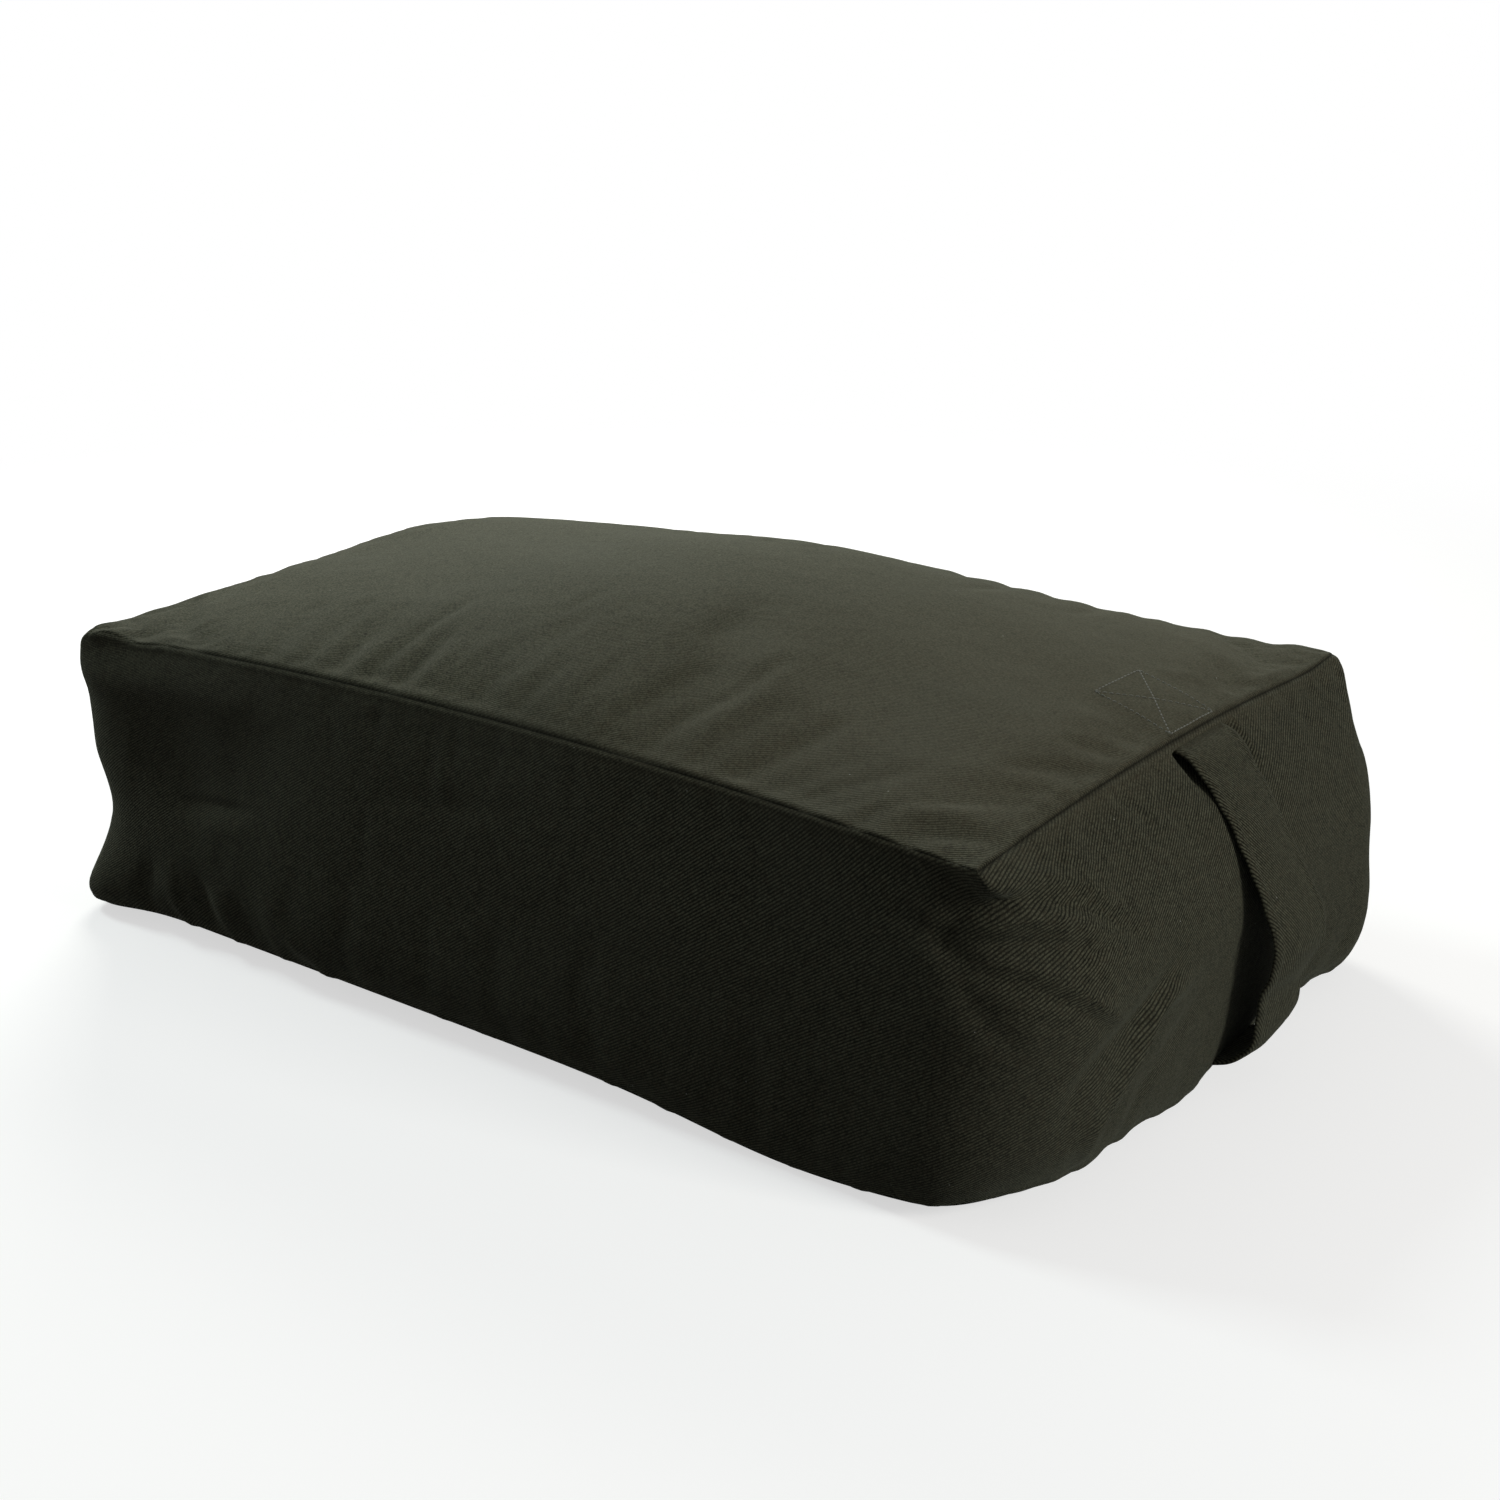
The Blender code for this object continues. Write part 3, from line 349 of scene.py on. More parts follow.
class Wire:
    """A socket of a shader node, with the operators of shader maths."""

    def __init__(self, net: "Net", socket: bpy.types.NodeSocket) -> None:
        """Wrap the socket of a node in the net."""
        self.net, self.socket = net, socket

    def _maths(self, operation: str, first: "Wire | float", second: "Wire | float" = 0.0) -> "Wire":
        """Add a Math node."""
        return self.net.node("ShaderNodeMath", {"operation": operation}, {0: first, 1: second})

    def __add__(self, other: "Wire | float") -> "Wire":
        """self + other."""
        return self._maths("ADD", self, other)

    __radd__ = __add__

    def __sub__(self, other: "Wire | float") -> "Wire":
        """self - other."""
        return self._maths("SUBTRACT", self, other)

    def __rsub__(self, other: float) -> "Wire":
        """other - self."""
        return self._maths("SUBTRACT", other, self)

    def __mul__(self, other: "Wire | float") -> "Wire":
        """self * other."""
        return self._maths("MULTIPLY", self, other)

    __rmul__ = __mul__

    def __pow__(self, other: float) -> "Wire":
        """self ** other."""
        return self._maths("POWER", self, other)

    def ribs(self, pitch: float) -> "Wire":
        """Ribs (1 + cos(2 pi self / pitch)) / 2."""
        return self._maths("COSINE", self * (2 * pi / pitch)) * 0.5 + 0.5

    def above(self, low: float, high: float) -> "Wire":
        """Ease from 0 at low to 1 at high."""
        inputs = {"Value": self, "From Min": low, "From Max": high}
        return self.net.node("ShaderNodeMapRange", {"interpolation_type": "SMOOTHSTEP"}, inputs)


class Net:
    """Node tree of a material or of the world."""

    def __init__(self, owner: Owner) -> None:
        """Start with an empty tree.

        Args:
            owner: The material or world.
        """
        self.owner = owner
        owner.use_nodes = True
        self.tree = owner.node_tree
        self.tree.nodes.clear()

    def node(self, kind: str, settings: dict, inputs: dict, output: int | str = 0) -> Wire:
        """Add a node of any type.

        Args:
            kind: The node's type.
            settings: Its own settings, which are set first.
            inputs: Values or wires of its sockets, by name or number.
            output: The output that is returned.

        Returns:
            The wire of that output.
        """
        made = self.tree.nodes.new(kind)
        for key, value in settings.items():
            setattr(made, key, value)
        for key, value in inputs.items():
            if isinstance(value, Wire):
                self.tree.links.new(value.socket, made.inputs[key])
            else:
                made.inputs[key].default_value = value
        return Wire(self, made.outputs[output])

    def mix(self, first: Wire | Colour, second: Wire | Colour, share: Wire | float) -> Wire:
        """Mix two colours."""
        return self.node("ShaderNodeMix", {"data_type": "RGBA"}, {0: share, 6: first, 7: second}, 2)

    def place(self) -> Wire:
        """Place of the surface in the object's own metres."""
        return self.node("ShaderNodeTexCoord", {}, {}, "Object")

    def cloth(self) -> Wire:
        """Cloth coordinates, in metres."""
        return self.node("ShaderNodeUVMap", {"uv_map": "cloth"}, {})

    def seam(self) -> Wire:
        """How deep in a seam the surface lies, which the twill paints as shade, and is 0 on a piece that
        has no seams.
        """
        return self.node("ShaderNodeAttribute", {"attribute_name": "seam"}, {}, "Fac")

    def part(self, vector: Wire, axis: str) -> Wire:
        """One component of a vector."""
        return self.node("ShaderNodeSeparateXYZ", {}, {0: vector}, axis)

    def noise(self, vector: Wire, size: float, detail: float = 2.0) -> Wire:
        """Noise from 0 to 1 whose features are about size metres."""
        inputs = {"Vector": vector, "Scale": 1.0 / size, "Detail": detail, "Roughness": 0.55}
        return self.node("ShaderNodeTexNoise", {}, inputs)

    def seen(self) -> Wire:
        """1 on the rays that see the background, 0 on those that light the object."""
        camera, glossy, clear = (self.node("ShaderNodeLightPath", {}, {}, ray.value) for ray in Ray)
        return camera + glossy + clear

    def closed(self, shader: Wire, output: str = "ShaderNodeOutputMaterial") -> Owner:
        """Lead the last shader to an output.

        Args:
            shader: The last shader.
            output: The type of the output's node.

        Returns:
            The material or world.
        """
        made = self.tree.nodes.new(output)
        self.tree.links.new(shader.socket, made.inputs["Surface"])
        return self.owner


# Finishes


def shade(colour: Colour, factor: float = 1.0) -> Colour:
    """A colour made lighter or darker by a factor, with its alpha."""
    return (*(part * factor for part in colour), 1.0)


@dataclass(frozen=True)
class Finish:
    """A finish with its name, main colour and pattern."""

    name: str
    colour: Colour

    def pattern(self, net: Net) -> tuple[dict, Wire]:
        """The shader's inputs and the height in metres, which differ from finish to finish."""
        raise NotImplementedError

    def material(self) -> Material:
        """The material, whose Normal comes from the pattern's height.

        Returns:
            The material.
        """
        net = Net(bpy.data.materials.new(self.name))
        inputs, height = self.pattern(net)
        bump = net.node("ShaderNodeBump", {}, {"Strength": 1.0, "Distance": 1.0, "Height": height})
        return net.closed(net.node("ShaderNodeBsdfPrincipled", {}, {**inputs, "Normal": bump}))

    def tinted(self, net: Net, dark: float, light: float, share: Wire) -> Wire:
        """The main colour between two factors."""
        return net.mix(shade(self.colour, dark), shade(self.colour, light), share)


@dataclass(frozen=True)
class Twill(Finish):
    """Heavy cotton twill: diagonal ribs with lines between them darkened as painted shade, matt and
    slightly fuzzy.
    """

    name: str = Slot.TWILL.value
    colour: Colour = (0.047, 0.047, 0.032)
    faded: Colour = (0.062, 0.063, 0.048)
    warm: Colour = (0.056, 0.045, 0.029)
    lint: Colour = (0.34, 0.34, 0.31)
    rib_pitch: float = 1.38 * MM
    yarn_pitch: float = 0.80 * MM
    rib_height: float = 0.19 * MM
    yarn_height: float = 0.03 * MM
    fuzz_height: float = 0.10 * MM
    slub_height: float = 0.12 * MM
    brushed_height: Range = (0.155, 0.176)
    warm_span: Range = (-0.10, 0.24)
    lint_gap: float = 19.0 * MM
    lint_size: float = 0.42 * MM

    def pattern(self, net: Net) -> tuple[dict, Wire]:
        """Ribs r = (1 + cos(2 pi across / pitch)) / 2, whose lines (1 - r)^1.3 are deep and darkened as
        painted shade.

        Args:
            net: The material's net.

        Returns:
            The shader's inputs and the height.
        """
        cloth, place = net.cloth(), net.place()
        across, along = net.part(cloth, "X"), net.part(cloth, "Y")
        drift = net.noise(cloth, 60 * MM, 1.0) * (1.1 * self.rib_pitch)
        line = (1 - (across + drift).ribs(self.rib_pitch)) ** 1.3
        yarn = (along * 0.9 - across).ribs(self.yarn_pitch)
        fuzz = net.noise(place, 1.1 * MM, 4.0)
        slub = net.noise(cloth, 5 * MM, 4.0)
        hue = net.noise(place, 2.6 * MM, 3.0).above(0.45, 0.75)
        wear = net.noise(place, 110 * MM, 2.0).above(0.42, 0.75)
        brushed = net.part(place, "Z").above(*self.brushed_height)
        # On the top, the colour turns warmer towards the strap end.
        warmer_to_strap_end = brushed * net.part(place, "X").above(*self.warm_span)
        # On the brushed top the ribs are lower, and the painted groove shade between them is lighter.
        depth = 1 - brushed * 0.55
        speck = fuzz.above(0.30, 0.70)
        # Painted shade: the lines between the ribs are darkened as far as they sink, over the specks,
        # yarns and slubs.
        tone = (1 - line * depth * 0.98) * (0.16 + speck * 0.74 + yarn * 0.16) + slub * 0.40 - 0.17
        scattered = {"Vector": place, "Scale": 1 / self.lint_gap, "Randomness": 1.0}
        away = net.node("ShaderNodeTexVoronoi", {"feature": "F1"}, scattered) + (fuzz - 0.5) * 0.02
        dot = self.lint_size / self.lint_gap
        base = self.tinted(net, 0.08, 2.15, tone)
        base = net.mix(base, shade(self.warm), hue * 0.30 + warmer_to_strap_end * 0.40)
        base = net.mix(base, shade(self.faded), wear * 0.22)
        base = net.mix(base, shade(self.lint), (1 - away.above(0.6 * dot, dot)) * 0.7)
        # Painted shade: the twill darkened along its seams, as the cover's seam attribute says.
        base = net.mix(base, shade(self.colour, 0.06), net.seam() * 0.85)
        raised = (1 - line) * depth * self.rib_height + yarn * self.yarn_height
        sheen = {"Sheen Weight": 0.06, "Sheen Roughness": 0.5, "Sheen Tint": (0.90, 1.0, 0.80, 1.0)}
        inputs = {"Base Color": base, "Roughness": 0.95, "Specular IOR Level": 0.05, **sheen}
        return inputs, raised + fuzz * self.fuzz_height + slub * self.slub_height


@dataclass(frozen=True)
class PlainCotton(Finish):
    """Plain unbleached cotton: a fine square weave."""

    name: str = Slot.COTTON.value
    colour: Colour = (0.68, 0.63, 0.52)
    pitch: float = 0.8 * MM

    def pattern(self, net: Net) -> tuple[dict, Wire]:
        """Weave (ribs(s) + ribs(t)) / 2, with slubs.

        Args:
            net: The material's net.

        Returns:
            The shader's inputs and the height.
        """
        cloth = net.cloth()
        slub = net.noise(cloth, 12 * MM, 3.0)
        weave = net.part(cloth, "X").ribs(self.pitch) * 0.5 + net.part(cloth, "Y").ribs(self.pitch) * 0.5
        base = self.tinted(net, 0.82, 1.08, weave * 0.5 + slub * 0.5)
        inputs = {"Base Color": base, "Roughness": 0.95, "Specular IOR Level": 0.2}
        return inputs, weave * (0.12 * MM) + slub * (0.10 * MM)


@dataclass(frozen=True)
class Batting(Finish):
    """Raw cotton batting: soft matted fibres with bits of seed."""

    name: str = Slot.BATTING.value
    colour: Colour = (0.80, 0.77, 0.69)
    seed_brown: Colour = (0.30, 0.22, 0.13)

    def pattern(self, net: Net) -> tuple[dict, Wire]:
        """Fibre noise in two sizes, with dark bits where a fine noise is high.

        Args:
            net: The material's net.

        Returns:
            The shader's inputs and the height.
        """
        place = net.place()
        fibre, clump = net.noise(place, 3 * MM, 6.0), net.noise(place, 25 * MM, 3.0)
        seed = net.noise(place, 4 * MM, 1.0).above(0.76, 0.80)
        base = self.tinted(net, 0.86, 1.06, fibre * 0.6 + clump * 0.4)
        base = net.mix(base, shade(self.seed_brown), seed * 0.5)
        inputs = {"Base Color": base, "Roughness": 1.0, "Specular IOR Level": 0.1, "Sheen Weight": 0.3}
        return inputs, fibre * (0.8 * MM) + clump * (2.0 * MM)


@dataclass(frozen=True)
class WovenTape(Finish):
    """Black woven zip tape with fine ribs along it."""

    name: str = Slot.TAPE.value
    colour: Colour = (0.012, 0.012, 0.012)
    pitch: float = 0.7 * MM
    turn: float = 2.4 * MM

    def pattern(self, net: Net) -> tuple[dict, Wire]:
        """Herringbone ribs(s + t folded).

        Args:
            net: The material's net.

        Returns:
            The shader's inputs and the height.
        """
        cloth = net.cloth()
        inputs = {0: net.part(cloth, "Y"), 1: self.turn}
        fold = net.node("ShaderNodeMath", {"operation": "PINGPONG"}, inputs)
        rib = (net.part(cloth, "X") + fold).ribs(self.pitch)
        base = self.tinted(net, 0.7, 2.1, rib)
        matt = {"Roughness": 0.85, "Specular IOR Level": 0.25, "Sheen Weight": 0.15}
        return {"Base Color": base, **matt}, rib * (0.10 * MM)


@dataclass(frozen=True)
class MouldedPlastic(Finish):
    """Satin black moulded plastic of the zip's teeth."""

    name: str = Slot.TEETH.value
    colour: Colour = (0.016, 0.016, 0.015)

    def pattern(self, net: Net) -> tuple[dict, Wire]:
        """Fine orange-peel height over a nearly even, scuffed colour.

        Args:
            net: The material's net.

        Returns:
            The shader's inputs and the height.
        """
        place = net.place()
        scuff = net.noise(place, 9 * MM, 3.0)
        inputs = {"Base Color": self.tinted(net, 0.8, 1.8, scuff), "Roughness": scuff * 0.22 + 0.30}
        return inputs, net.noise(place, 0.5 * MM, 2.0) * (0.012 * MM)


@dataclass(frozen=True)
class Enamel(Finish):
    """Black enamel over cast zinc, worn on what is handled."""

    name: str = Slot.METAL.value
    colour: Colour = (0.020, 0.020, 0.019)
    bare: Colour = (0.34, 0.33, 0.31)

    def pattern(self, net: Net) -> tuple[dict, Wire]:
        """Bare metal where a noise passes a limit.

        Args:
            net: The material's net.

        Returns:
            The shader's inputs and the height.
        """
        place = net.place()
        worn = net.noise(place, 2.2 * MM, 5.0).above(0.62, 0.72)
        base = net.mix(shade(self.colour), shade(self.bare), worn * 0.55)
        inputs = {"Base Color": base, "Metallic": worn * 0.8 + 0.1, "Roughness": 0.42 - worn * 0.10}
        return inputs, net.noise(place, 0.4 * MM, 2.0) * (0.02 * MM)


@dataclass(frozen=True)
class Thread(Finish):
    """Spun sewing thread, a little lighter than the twill."""

    name: str = "thread"
    colour: Colour = (0.085, 0.088, 0.068)

    def pattern(self, net: Net) -> tuple[dict, Wire]:
        """Twisted plies as a fine noise.

        Args:
            net: The material's net.

        Returns:
            The shader's inputs and the height.
        """
        ply = net.noise(net.place(), 0.35 * MM, 2.0)
        inputs = {"Base Color": self.tinted(net, 0.65, 1.35, ply), "Roughness": 0.7, "Sheen Weight": 0.2}
        return inputs, ply * (0.06 * MM)


# The stuffed form


@dataclass(frozen=True)
class Form:
    """Formulas of the cushion's surface before its folds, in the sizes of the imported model."""

    belly_half_length: float = 0.3195
    belly_half_width: float = 0.1905
    belly_corner_radius: float = 0.060
    belly_height: float = 0.088
    belly_side_lean: float = 0.0071
    belly_end_lean: float = 0.0039
    top_half_length: float = 0.2790
    top_half_width: float = 0.1837
    top_corner_height: float = 0.1624
    top_rise: float = 0.0067
    top_end_draw: float = 0.0020
    top_side_draw: float = 0.0086
    end_tuck: float = 0.0120
    side_tuck: float = 0.0100
    bottom_corner_radius: float = 0.046
    bottom_lift: float = 0.009
    floor_share: float = 0.86
    crown_height: float = 0.0435
    crown_flatness: float = 2.2
    crown_shoulder: float = 0.81
    hump_height: float = 0.0041
    hump_waves: float = 1.77
    hump_offset: float = 0.06
    upper_bulge: float = 1.914
    lower_bulge: float = 5.975
    corner_ease: float = 0.55

    @property
    def upper_reach(self) -> float:
        """Height of the boxing above the belly at a corner."""
        return self.top_corner_height - self.belly_height

    @property
    def lower_reach(self) -> float:
        """Height of the boxing below the belly."""
        return self.belly_height - self.bottom_lift

    @staticmethod
    def rounded(u: Array, v: Array, length: Array, width: Array, radius: Array) -> tuple[Array, Array]:
        """Push a point of the square's edge out to a rectangle with round corners.

        Args:
            u: First coordinate of the point.
            v: Second coordinate of the point.
            length: Half of the rectangle's length.
            width: Half of its width.
            radius: Radius of its corners.

        Returns:
            The two coordinates on the rectangle.
        """
        x, y = length * u, width * v
        core_x = np.clip(x, radius - length, length - radius)
        core_y = np.clip(y, radius - width, width - radius)
        reach = np.maximum(np.hypot(x - core_x, y - core_y), 1e-4)
        return core_x + radius * (x - core_x) / reach, core_y + radius * (y - core_y) / reach

    def drawn(self, u: Array, v: Array) -> tuple[Array, Array]:
        """Half length and half width of the top, whose sides are drawn in between the corners."""
        length = self.top_half_length - self.top_end_draw * (1 - v**2)
        return length, self.top_half_width - self.top_side_draw * (1 - u**2)

    def bottom_outline(self, u: Array, v: Array) -> tuple[Array, Array]:
        """Outline of the bottom seam, tucked under the belly.

        Args:
            u: First coordinate on the square's edge.
            v: Second coordinate on the square's edge.

        Returns:
            The two coordinates on the outline.
        """
        length = self.belly_half_length - self.belly_end_lean - self.end_tuck
        width = self.belly_half_width + self.belly_side_lean - self.side_tuck
        return self.rounded(u, v, length, width, self.bottom_corner_radius)

    def top_seams(self, u: Array, v: Array) -> tuple[Array, Array]:
        """Distances from the top's end seam and from its side seam."""
        return (1 - np.abs(u)) * self.top_half_length, (1 - np.abs(v)) * self.top_half_width

    def side_seams(self, w: Array) -> tuple[Array, Array]:
        """Distances from the boxing's top seam and from its bottom seam."""
        return (1 - w) * self.upper_reach, (1 + w) * self.lower_reach

    def over_belly(self, u: Array, v: Array) -> Array:
        """Height of the top seam over the belly, at a corner + rise (1 - min(|u|, |v|)^2)."""
        return self.upper_reach + self.top_rise * (1 - np.minimum(np.abs(u), np.abs(v)) ** 2)

    def top(self, u: Array, v: Array) -> Array:
        """Top panel: seam height + crown ((1 - |u|^n)(1 - |v|^n))^p + humps cos(pi (u - o) k).

        Args:
            u: Share of the half length, from -1 to 1 at the strap end.
            v: Share of the half width, from -1 to 1 on the zip side.

        Returns:
            The points.
        """
        length, width = self.drawn(u, v)
        far, corner = np.maximum(np.abs(u), np.abs(v)), np.minimum(np.abs(u), np.abs(v))
        fall = (1 - np.abs(u) ** self.crown_flatness) * (1 - np.abs(v) ** self.crown_flatness)
        z = self.top_corner_height + self.top_rise * (1 - corner**2) * far**4
        z = z + self.crown_height * np.maximum(fall, 0) ** self.crown_shoulder
        humps = self.hump_height * np.cos(pi * (u - self.hump_offset) * self.hump_waves)
        return np.stack([u * length, v * width, z + humps * (1 - u**2) * (1 - v**2)], -1)

    def bottom(self, u: Array, v: Array) -> Array:
        """Bottom panel: flat where it rests, then lift ((far - f) / (1 - f))^1.5 to its seam.

        Args:
            u: Share of the half length.
            v: Share of the half width.

        Returns:
            The points.
        """
        far = np.maximum(np.maximum(np.abs(u), np.abs(v)), 1e-4)
        x, y = self.bottom_outline(u / far, v / far)
        curl = np.clip((far - self.floor_share) / (1 - self.floor_share), 0, 1)
        return np.stack([x * far, y * far, self.bottom_lift * curl**1.5], -1)

    def side(self, u: Array, v: Array, w: Array) -> Array:
        """Boxing: belly (1 - |w|^n) + seam |w|^n, at belly height + reach w.

        Args:
            u: First coordinate on the edge of the square of u and v.
            v: Second coordinate on it.
            w: Level, from -1 at the bottom seam to 1 at the top seam, whose sharp corner rounds off
                below it with the radius belly radius * ease(1 - w).

        Returns:
            The points.
        """
        eased = self.belly_corner_radius * smooth_step(1 - w, 0.0, self.corner_ease)
        seams = zip(self.rounded(u, v, *self.drawn(u, v), eased), self.bottom_outline(u, v))
        length = self.belly_half_length + self.belly_end_lean * w
        width = self.belly_half_width - self.belly_side_lean * w
        belly = self.rounded(u, v, length, width, self.belly_corner_radius)
        high, size = w >= 0, np.abs(w)
        pull = np.where(high, size**self.upper_bulge, size**self.lower_bulge)
        x, y = (mid * (1 - pull) + np.where(high, *seam) * pull for mid, seam in zip(belly, seams))
        reach = np.where(high, self.over_belly(u, v), self.lower_reach)
        return np.stack(np.broadcast_arrays(x, y, self.belly_height + reach * w), -1)

    def back(self, u: Array, w: Array) -> Array:
        """The boxing on the zip side."""
        return self.side(u, np.ones_like(u), w)

    def back_level(self, u: Array, over: Array) -> Array:
        """Level of the zip side at a height over the belly."""
        return over / np.where(over > 0, self.over_belly(u, np.ones_like(u)), self.lower_reach)


FORM = Form()


def ring_of(u: Array, v: Array) -> tuple[Array, Array, Array]:
    """Numbers of a grid's edge points and their two coordinates."""
    ring = rim_numbers(*u.shape)
    return ring, u.ravel()[ring], v.ravel()[ring]


def joined(low: Array, high: Array, side: Array, ring: Array) -> tuple[Array, Array]:
    """Shell of two grids whose rims move to the side's first and last rows."""
    low.reshape(-1, 3)[ring], high.reshape(-1, 3)[ring] = side[0], side[-1]
    return shell(low, high, side[1:-1])


@dataclass(frozen=True)
class Nudge:
    """A soft push of all that is near a place, where the stuffing lies unevenly, in millimetres."""

    place: Place
    reach: Place
    move: Place

    def shift(self, points: Array) -> Array:
        """How far each point moves: move * exp(-|(p - place) / reach|^2)."""
        away = (points / MM - self.place) / self.reach
        return np.array(self.move) * MM * np.exp(-(away**2).sum(-1, keepdims=True))


@dataclass(frozen=True)
class Fold:
    """A ridge (positive height) or hollow (negative) along a line of points, all in millimetres."""

    height: float
    width: float
    line: tuple[float, ...]

    def relief(self, first: Array, second: Array) -> Array:
        """height * exp(-(distance to the line / width)^2), fading towards both ends of the line.

        Args:
            first: First panel coordinate of each point, in metres.
            second: Second panel coordinate.

        Returns:
            The height at each point.
        """
        stops = np.reshape(self.line, (-1, 2)) * MM
        gone = gone_along(stops)
        best = np.full(np.broadcast(first, second).shape, 1e9)
        place = np.zeros_like(best)
        for start, end, before, after in zip(stops[:-1], stops[1:], gone[:-1], gone[1:]):
            way = (end - start) / (after - before)
            share = (first - start[0]) * way[0] + (second - start[1]) * way[1]
            share = np.clip(share, 0, after - before)
            away = np.hypot(first - start[0] - share * way[0], second - start[1] - share * way[1])
            place = np.where(away < best, (before + share) / gone[-1], place)
            best = np.minimum(away, best)
        fade = np.sqrt(np.sin(pi * np.clip(place, 0.02, 0.98)))
        return self.height * MM * bell(best, self.width * MM) * fade


@dataclass(frozen=True)
class Seam:
    """A seam's groove -g exp(-(d / a)^2) and its roll r exp(-((d - p) / b)^2), in millimetres."""

    groove: float
    groove_width: float
    roll: float
    roll_place: float
    roll_width: float

    def relief(self, distance: Array) -> Array:
        """Height at a distance from the seam."""
        groove = self.groove * MM * bell(distance, self.groove_width * MM)
        return self.roll * MM * bell(distance - self.roll_place * MM, self.roll_width * MM) - groove


@dataclass(frozen=True)
class Gathers:
    """Small puckers across a seam, waves * exp(-distance / reach)."""

    height: float
    reach: float
    seed: int
    lengths: Range = (11 * MM, 24 * MM)
    count: int = 4

    def relief(self, along: Array, distance: Array) -> Array:
        """Height at places along the seam and distances from it."""
        waves = Waves(self.height, self.lengths, self.count, self.seed)
        return waves.at(along, 0 * along) * np.exp(-distance / self.reach)


@dataclass(frozen=True)
class StrapPath:
    """Where the strap runs: sewn under the top panel, free over the end, and under the bottom."""

    width: float = 0.050
    thickness: float = 2.6 * MM
    off_centre: float = 0.016
    inner_length: float = 0.047
    standoff: float = 0.0205
    cloth: float = 1.2 * MM
    clearance: float = 0.3 * MM
    heights: tuple[float, ...] = (
        0.955, 0.88, 0.79, 0.686, 0.586, 0.515, 0.456, 0.39, 0.331, 0.272, 0.198, 0.142, 0.102
    )
    standoffs: tuple[float, ...] = (
        0.12, 0.17, 0.20, 0.30, 0.58, 0.86, 1.00, 0.93, 0.76, 0.71, 0.74, 0.66, 0.36
    )

    def sewn(self, half: Half) -> Array:
        """Middle line of a sewn end under its panel.

        Args:
            half: The upper or the lower end.

        Returns:
            Points (x, z) from its inner edge to the seam.
        """
        panel = FORM.top if half is Half.UPPER else FORM.bottom
        u = np.linspace(1 - self.inner_length / FORM.top_half_length, 1, 8)
        v = np.full_like(u, self.off_centre / FORM.top_half_width)
        depth = 2 * self.cloth + self.clearance + self.thickness / 2
        return (panel(u, v) - half.value * normal_at(panel, u, v, 1e-3) * depth)[:, [0, 2]]

    def line(self, count: int) -> Array:
        """Middle line at even stations: a cubic curve b + t (c - a) / 2 + ... through the stops.

        Args:
            count: Number of stations.

        Returns:
            Points (x, z) along the line, from the top's inner edge to the bottom's.
        """
        seam = FORM.top_corner_height + FORM.top_rise
        z = np.array(self.heights) * seam
        reach = np.where(z > FORM.belly_height, seam - FORM.belly_height, FORM.lower_reach)
        off = np.array([self.off_centre / FORM.top_half_width])
        end = FORM.side(np.ones(1), off, (z - FORM.belly_height) / reach)
        loop = np.stack([end[:, 0] + np.array(self.standoffs) * self.standoff, z], -1)
        stops = np.concatenate([self.sewn(Half.UPPER), loop, self.sewn(Half.LOWER)[::-1]])
        stops = np.concatenate([2 * stops[:1] - stops[1:2], stops, 2 * stops[-1:] - stops[-2:-1]])
        t = np.linspace(0, 1, 24, endpoint=False)[None, :, None]
        a, b, c, d = (stops[i : len(stops) - 3 + i, None] for i in range(4))
        curve = b + 0.5 * t * (c - a + t * (2 * a - 5 * b + 4 * c - d + t * (3 * (b - c) + d - a)))
        dense = np.concatenate([curve.reshape(-1, 2), stops[-2:-1]])
        gone = gone_along(dense)
        wanted = np.linspace(0, gone[-1], count)
        return np.stack([np.interp(wanted, gone, part) for part in dense.T], -1)


STRAP = StrapPath()


@dataclass(frozen=True)
class StitchBox:
    """The boxed cross that holds the strap's end under the top panel."""

    near: float = 0.2745
    far: float = 0.2325
    half_width: float = 0.0225
    skew: float = 0.006
    pad_height: float = 0.7 * MM
    pad_margin: float = 2.5 * MM
    pad_start: float = 3 * MM
    pad_rise: Range = (2 * MM, 1.5 * MM)
    pad_fall: float = 4 * MM
    pad_edge: Range = (-1 * MM, 2 * MM)
    groove_depth: float = 0.3 * MM
    groove_width: float = 2.4 * MM

    def lines(self) -> list[tuple[Array, Array]]:
        """The four sides and the two diagonals.

        Returns:
            Pairs of points (x, y).
        """
        low, high = STRAP.off_centre - self.half_width, STRAP.off_centre + self.half_width
        near = [(self.near, low), (self.near, high)]
        far = [(self.far, high + self.skew), (self.far, low + self.skew)]
        a, b, c, d = np.array(near + far)
        return [(a, b), (b, c), (c, d), (d, a), (a, c), (b, d)]

    def relief(self, x: Array, y: Array) -> Array:
        """A low pad with shallow grooves along the stitches.

        Args:
            x: First coordinate of each point on the top.
            y: Second coordinate.

        Returns:
            The height at each point.
        """
        low, high = self.far - self.pad_start, FORM.top_half_length
        before, after = self.pad_rise
        along = smooth_step(x, low - before, low + after)
        along = along * (1 - smooth_step(x, high - self.pad_fall, high))
        shift = self.skew * np.clip((self.near - x) / (self.near - self.far), 0, 1)
        past = np.abs(y - STRAP.off_centre - shift) - self.half_width - self.pad_margin
        away = np.full(np.broadcast(x, y).shape, 1e9)
        for (x0, y0), (x1, y1) in self.lines():
            way_x, way_y = x1 - x0, y1 - y0
            share = np.clip(((x - x0) * way_x + (y - y0) * way_y) / (way_x**2 + way_y**2), 0, 1)
            away = np.minimum(away, np.hypot(x - x0 - share * way_x, y - y0 - share * way_y))
        pad = self.pad_height * along * (1 - smooth_step(past, *self.pad_edge))
        return pad - self.groove_depth * bell(away, self.groove_width)


STITCH_BOX = StitchBox()


# The cover


